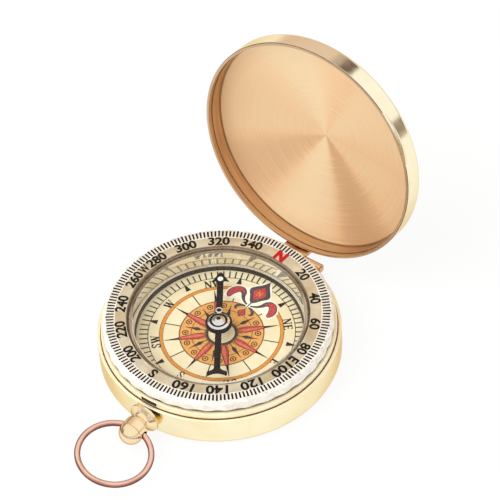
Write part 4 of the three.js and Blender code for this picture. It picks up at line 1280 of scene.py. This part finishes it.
def needle_outline():
    """The needle's outline from above, pointing along x."""
    tip = (NEEDLE_TIP, NEEDLE_TIP_HALF)
    barb = (NEEDLE_BARB, NEEDLE_BARB_HALF)
    head_lean = ((NEEDLE_TIP + NEEDLE_BARB) / 2, NEEDLE_HALF + 0.25)
    barb_lean = (NEEDLE_BARB + 0.3, NEEDLE_HALF + 0.5)
    barb_end = (NEEDLE_BARB + 0.15, NEEDLE_HALF + 0.05)
    flare = (NEEDLE_TAIL + NEEDLE_TAIL_HALF, NEEDLE_HALF)
    flare_lean = (flare[0] - NEEDLE_HALF, NEEDLE_HALF)
    wing = (NEEDLE_TAIL + NEEDLE_TAIL_END, NEEDLE_TAIL_HALF - 0.12)
    wing_lean = (NEEDLE_TAIL + 0.5, NEEDLE_TAIL_HALF + 0.1)
    wing_end = (NEEDLE_TAIL, NEEDLE_TAIL_HALF - 0.15)
    hollow_x = NEEDLE_TAIL + NEEDLE_HOLLOW
    upper = [
        (NEEDLE_TIP, 0),
        (NEEDLE_TIP - 0.05, NEEDLE_TIP_HALF),
        *quadratic(tip, head_lean, barb),
        *quadratic(barb, barb_lean, barb_end, 6),
        (NEEDLE_BARB - 0.1, NEEDLE_HALF),
        flare,
        *quadratic(flare, flare_lean, wing),
        *quadratic(wing, wing_lean, wing_end, 6),
        *quadratic(wing_end, (hollow_x, NEEDLE_TAIL_HALF * 0.4), (hollow_x, 0), 6),
    ]
    return upper + [(x, -y) for x, y in reversed(upper[1:-1])]


# The needle's cap as (radius, height above the hub): its flange and groove, its dome, and the pit on top
CAP_FLANGE = ((1.75, 0.05), (2.28, 0.03), (2.3, 0.1), (1.86, 0.38))
CAP_GROOVE = ((1.8, 0.1), (1.46, 0.1))
CAP_DOME = ((1.42, 0.34), (1.34, 0.42), (1.22, 0.44), (0.98, 0.64), (0.74, 0.84), (0.52, 1.0), (0.46, 1.01))
CAP_PIT = ((0.42, 0.9), (0.2, 0.82), (0, 0.82))


def make_needle():
    outline = needle_outline()
    count = len(outline)
    turn = Matrix.Rotation(NEEDLE_BEARING, 4, "Z")
    vertices = [(x, y, z) for z in (NEEDLE_LOW_Z, NEEDLE_TOP_Z) for x, y in outline]
    faces = [tuple(reversed(range(count))), tuple(range(count, 2 * count))]
    faces += [(i, (i + 1) % count, count + (i + 1) % count, count + i) for i in range(count)]
    blade = add_mesh("needle_arrow", vertices, faces, [BLACK_PAINT], "needle", "black_enamel", move=turn)
    bevel = blade.modifiers.new("rounded_edge", "BEVEL")
    bevel.width = NEEDLE_BEVEL * MM
    bevel.segments = 2
    bevel.limit_method = "ANGLE"
    bevel.angle_limit = math.radians(50)
    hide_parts("needle_blade")
    hub_profile = [
        *arc((HUB_RADIUS - HUB_LOW_EDGE, HUB_LOW_Z + HUB_LOW_EDGE), HUB_LOW_EDGE, -90, 0, 3),
        *arc((HUB_RADIUS - HUB_TOP_EDGE, HUB_TOP_Z - HUB_TOP_EDGE), HUB_TOP_EDGE, 0, 90, 4),
        (HUB_BORE + HUB_CHAMFER, HUB_TOP_Z),
        (HUB_BORE, HUB_TOP_Z - HUB_CHAMFER),
        (HUB_BORE, HUB_LOW_Z),
    ]
    turned("needle_hub", hub_profile, SMALL_FACETS, [BLACK_PAINT], "needle", "black_enamel")
    foot = [
        (0, CAP_CONE_TOP_Z),
        (CAP_BORE, CAP_CONE_Z),
        (CAP_BORE, CAP_LOW_Z),
        (CAP_FOOT_RADIUS, CAP_LOW_Z),
        (CAP_RADIUS, HUB_LOW_Z),
    ]
    top = steps_from(0, HUB_TOP_Z, CAP_FLANGE + CAP_GROOVE + CAP_DOME + CAP_PIT)
    # The groove and the pit are black paint: painted shade in the cap's hollows
    finish_at = runs(
        (0, len(foot) + len(CAP_FLANGE) - 1),
        (1, len(CAP_GROOVE) + 1),
        (0, len(CAP_DOME)),
        (1, len(CAP_PIT)),
    )
    finishes = [BRIGHT, BLACK_PAINT]
    cap = turned("needle_jewel_cap", foot + top, SMALL_FACETS, finishes, "needle", "bright_steel", finish_at)
    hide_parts("needle_cap")
    # A bright ring in place of the cap's reflection in the window: a painted reflection
    reflection_ring_profile = [
        *arc((REFLECTION_RING_RADIUS, HUB_TOP_Z + REFLECTION_RING_RISE), REFLECTION_RING_WIRE, 0, 180, 8),
        (REFLECTION_RING_RADIUS - REFLECTION_RING_WIRE, NEEDLE_TOP_Z - REFLECTION_RING_SINK),
        (REFLECTION_RING_RADIUS + REFLECTION_RING_WIRE, NEEDLE_TOP_Z - REFLECTION_RING_SINK),
    ]
    place = turn @ Matrix.Translation((REFLECTION_RING_X, 0, 0))
    turned("needle_reflection_ring", reflection_ring_profile, TINY_FACETS, [BRIGHT], "needle", "bright_steel", move=place)


def bow_place():
    """The middle of the cross hole in the ball, rolled as the stem is."""
    roll = Matrix.Translation((0, 0, STEM_Z)) @ Matrix.Rotation(BOW_ROLL, 4, "Y")
    return roll @ Matrix.Translation((0, BOW_HOLE_Y, 0))


def make_stem():
    along_y = Matrix(((1, 0, 0, 0), (0, 0, 1, 0), (0, -1, 0, STEM_Z), (0, 0, 0, 1)))
    ball = [math.radians(angle) for angle in range(8, 89, 8)]
    shoulder_y = NECK_Y - BALL_ROUNDING
    collar = steps_from(COLLAR_RADIUS, COLLAR_END_Y, COLLAR_STEPS)
    flare = [*steps_from(NECK_RADIUS, NECK_Y, FLARE_STEPS), collar[0]]
    profile = [
        (0, BALL_END_Y),
        *[(BALL_RADIUS * math.sin(a), BAND_END_Y - BALL_RADIUS * math.cos(a)) for a in ball],
        *steps_from(BALL_RADIUS, BAND_END_Y, BAND_STEPS),
        *steps_from(BALL_RADIUS, shoulder_y, SHOULDER_STEPS),
        *arc((BALL_RADIUS - BALL_ROUNDING, shoulder_y), BALL_ROUNDING, 10, 90, 6),
        *steps_from(NECK_RADIUS, NECK_Y, NECK_STEPS),
        *curl(flare, 5),
        collar[1],
        (COLLAR_RADIUS, COLLAR_Y - COLLAR_EDGE),
        (COLLAR_RADIUS - COLLAR_EDGE, COLLAR_Y),
        (STEM_BORE, COLLAR_Y),
        (STEM_BORE, COLLAR_Y - STEM_BORE_DEPTH),
        (0, COLLAR_Y - STEM_BORE_DEPTH),
    ]
    settings = {"move": along_y, "sharp": SHARPER}
    knob = turned("stem_knob", profile, SMALL_FACETS, [STEM_GOLD], "crown", "polished_brass", **settings)
    hole = bow_place() @ Matrix.Rotation(math.pi / 2, 4, "Y")
    cut(knob, [rod("cut_bow", BOW_HOLE_RADIUS, BOW_HOLE_HALF, hole)], SHARPER)
    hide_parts("crown_knob")


def make_bow():
    half_split = BOW_SPLIT / 2 / BOW_RADIUS
    vertices = []
    for step in range(BOW_STEPS + 1):
        angle = math.pi / 2 + half_split + step / BOW_STEPS * 2 * (math.pi - half_split)
        from_end = min(step, BOW_STEPS - step, len(BOW_END_TAPER) - 1)
        size = BOW_WIRE / 2 * BOW_END_TAPER[from_end]
        for side in range(BOW_SIDES):
            around = TURN * side / BOW_SIDES
            radius = BOW_RADIUS + size * math.cos(around)
            x = radius * math.cos(angle) + BOW_SHIFT
            y = radius * math.sin(angle) - BOW_RADIUS + BOW_SAG / 2
            vertices.append((x, y, size * math.sin(around)))
    faces = sweep_faces(BOW_STEPS, BOW_SIDES)
    move = bow_place() @ Matrix.Rotation(BOW_DROOP, 4, "X")
    ring = add_mesh("bow", vertices, faces, [ROSE], "bow", "rose_copper", sharp=BOW_SHARP, move=move)
    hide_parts("bow_ring")


# The CAD pieces that show as they are

def smooth_group():
    """A modifier that rounds the shading of turned faces and keeps their edges."""
    group = bpy.data.node_groups.new("round_shading", "GeometryNodeTree")
    for way in ("INPUT", "OUTPUT"):
        group.interface.new_socket("Geometry", in_out=way, socket_type="NodeSocketGeometry")
    start = add_node(group, "NodeGroupInput")
    faces = add_node(group, "GeometryNodeSetShadeSmooth", {"Geometry": start.outputs[0]}, domain="FACE")
    angle = add_node(group, "GeometryNodeInputMeshEdgeAngle")
    inputs = {0: angle.outputs["Unsigned Angle"], 1: math.radians(SHARP)}
    compare = add_node(group, "FunctionNodeCompare", inputs, operation="GREATER_THAN")
    inputs = {"Geometry": faces.outputs["Geometry"], "Selection": compare.outputs[0], "Shade Smooth": False}
    edges = add_node(group, "GeometryNodeSetShadeSmooth", inputs, domain="EDGE")
    add_node(group, "NodeGroupOutput", {0: edges.outputs["Geometry"]})
    return group


NODE_FINISHES = {
    "capsule_holder": HOLDER,
    "capsule_cup": MIRROR,
    "bezel_washer": NYLON,
    "pivot_seat": IVORY,
    "needle_dot": GLOW,
    "stem_bush": GOLD,
    # The latch hook is kept dark as painted shade in the lip's slot
    "latch_hook": SLOT_SHADE_STEEL,
    **dict.fromkeys(("case_knuckle_left", "case_knuckle_right", "lid_knuckle", "hinge_pin"), COPPER),
    **dict.fromkeys(("pivot_pin", "push_rod", "latch_rivet", "latch_spring"), STEEL),
}
NODE_WELD = 0.000001


def dress_nodes():
    group = smooth_group()
    for name, material in NODE_FINISHES.items():
        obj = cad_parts[name]
        obj.data.materials.clear()
        obj.data.materials.append(material)
        weld = obj.modifiers.new("weld", "WELD")
        weld.merge_threshold = NODE_WELD
        rounding = obj.modifiers.new("rounding", "NODES")
        rounding.node_group = group


# Studio: white all round, with a warm wall high behind on the left that ends in a dark edge,
# two dark walls low on the left and a brown patch low on the right, which draw the edges of the
# polished metal. Each has its direction, the angles where it starts and is full, and its colour
FLAGS = (
    ((-0.50, 0.74, 0.44), 34, 22, (0.76, 0.60, 0.53)),
    ((-0.97, 0.22, 0.05), 30, 15, (0.22, 0.21, 0.20)),
    ((-0.125, 0.775, 0.615), 9, 2, (0.50, 0.385, 0.33)),
    ((-0.015, 0.78, 0.63), 7.5, 4, (0.17, 0.125, 0.11)),
    ((0.72, 0.685, 0.08), 9, 5, (0.50, 0.40, 0.33)),
    ((-0.86, -0.48, 0.12), 26, 14, (0.25, 0.20, 0.17)),
)
# The dim line where the floor meets the room, by height above it, and where it starts and is full along x
HORIZON = ((0.0, 0.0), (0.03, 1.0), (0.11, 1.0), (0.17, 0.0))
HORIZON_START_X = -0.58
HORIZON_FULL_X = -0.42
HORIZON_COLOUR = (0.32, 0.27, 0.23)

# The floor, in metres: how much of its own white it shows, the rest being its colour in the light
FLOOR_HALF = 0.7
FLOOR_Z = -2e-5
FLOOR_GLOW = 0.88
FLOOR_COLOUR = (0.9, 0.9, 0.89, 1)

# The key lamp, in metres and watts
LAMP_PLACE = (-0.35, -0.45, 0.6)
LAMP_TARGET = (0, 0, 0.015)
LAMP_SIZE = 0.9
LAMP_POWER = 5.2

# The camera, fitted to the ellipses in the photo
CAMERA_PLACE = (0.27893, -0.34079, 0.51267)
CAMERA_RIGHT = (0.81513, 0.57728, -0.04813)
CAMERA_UP = (-0.40117, 0.62249, 0.67199)
CAMERA_BACK = (0.41788, -0.52845, 0.73900)
CAMERA_LENS = 236.4
CAMERA_SENSOR = 36
CAMERA_CLIP = 0.01


def floor_material():
    """White to the camera, in reflections and through glass, apart from the object's shadow."""
    material = bpy.data.materials.new("studio_white")
    material.use_nodes = True
    tree = material.node_tree
    tree.nodes.clear()
    diffuse = add_node(tree, "ShaderNodeBsdfDiffuse", {"Color": FLOOR_COLOUR})
    glow = add_node(tree, "ShaderNodeEmission", {"Color": WHITE})
    path = add_node(tree, "ShaderNodeLightPath").outputs
    seen = path["Is Camera Ray"]
    for ray in ("Is Glossy Ray", "Is Transmission Ray"):
        seen = add_node(tree, "ShaderNodeMath", {0: seen, 1: path[ray]}, operation="MAXIMUM").outputs[0]
    share = add_node(tree, "ShaderNodeMath", {0: seen, 1: FLOOR_GLOW}, operation="MULTIPLY")
    inputs = {"Fac": share.outputs[0], 1: diffuse.outputs[0], 2: glow.outputs[0]}
    mix = add_node(tree, "ShaderNodeMixShader", inputs)
    add_node(tree, "ShaderNodeOutputMaterial", {"Surface": mix.outputs[0]})
    return material


def make_floor():
    mesh = bpy.data.meshes.new("studio_floor")
    corners = ((-1, -1), (1, -1), (1, 1), (-1, 1))
    mesh.from_pydata([(x * FLOOR_HALF, y * FLOOR_HALF, FLOOR_Z) for x, y in corners], [], [(0, 1, 2, 3)])
    mesh.materials.append(floor_material())
    ground = bpy.data.objects.new("studio_floor", mesh)
    bpy.context.scene.collection.objects.link(ground)


def make_world():
    world = bpy.data.worlds.new("studio")
    world.use_nodes = True
    bpy.context.scene.world = world
    tree = world.node_tree
    towards = add_node(tree, "ShaderNodeTexCoord").outputs["Generated"]
    sky = WHITE
    for direction, start, full, colour in FLAGS:
        inputs = {0: towards, 1: Vector(direction).normalized()}
        nearness = add_node(tree, "ShaderNodeVectorMath", inputs, operation="DOT_PRODUCT")
        inputs = {
            "Value": nearness.outputs["Value"],
            "From Min": math.cos(math.radians(start)),
            "From Max": math.cos(math.radians(full)),
        }
        share = add_node(tree, "ShaderNodeMapRange", inputs, interpolation_type="SMOOTHSTEP")
        inputs = {"Fac": share.outputs["Result"], "Color1": sky, "Color2": (*colour, 1)}
        sky = add_node(tree, "ShaderNodeMixRGB", inputs).outputs["Color"]
    parts = add_node(tree, "ShaderNodeSeparateXYZ", {"Vector": towards}).outputs
    band = add_ramp(tree, parts["Z"], [(place, (level, level, level)) for place, level in HORIZON])
    inputs = {"Value": parts["X"], "From Min": HORIZON_START_X, "From Max": HORIZON_FULL_X}
    along = add_node(tree, "ShaderNodeMapRange", inputs).outputs["Result"]
    share = add_node(tree, "ShaderNodeMath", {0: band, 1: along}, operation="MULTIPLY")
    inputs = {"Fac": share.outputs[0], "Color1": sky, "Color2": (*HORIZON_COLOUR, 1)}
    room = add_node(tree, "ShaderNodeMixRGB", inputs)
    tree.links.new(room.outputs["Color"], tree.nodes["Background"].inputs["Color"])


def make_lamp():
    """The key lamp; hidden in reflections, where it would clip the polished rim to white."""
    light = bpy.data.lights.new("key", "AREA")
    light.shape = "DISK"
    light.size = LAMP_SIZE
    light.energy = LAMP_POWER
    lamp = bpy.data.objects.new("key", light)
    lamp.location = LAMP_PLACE
    direction = Vector(LAMP_TARGET) - Vector(LAMP_PLACE)
    lamp.rotation_euler = direction.to_track_quat("-Z", "Y").to_euler()
    lamp.visible_glossy = False
    bpy.context.scene.collection.objects.link(lamp)


def make_camera():
    camera = bpy.data.cameras.new("photo_view")
    camera.sensor_width = CAMERA_SENSOR
    camera.lens = CAMERA_LENS
    camera.clip_start = CAMERA_CLIP
    view = bpy.data.objects.new("photo_view", camera)
    turn = Matrix((CAMERA_RIGHT, CAMERA_UP, CAMERA_BACK)).transposed()
    view.matrix_world = Matrix.Translation(CAMERA_PLACE) @ turn.to_4x4()
    bpy.context.scene.collection.objects.link(view)
    bpy.context.scene.camera = view


make_camera()
make_case()
make_lid()
make_thumb_lip()
make_capsule()
make_bezel()
print_bezel()
print_dial()
make_needle()
make_stem()
make_bow()
dress_nodes()
make_floor()
make_world()
make_lamp()
bpy.context.scene.view_settings.view_transform = "Standard"
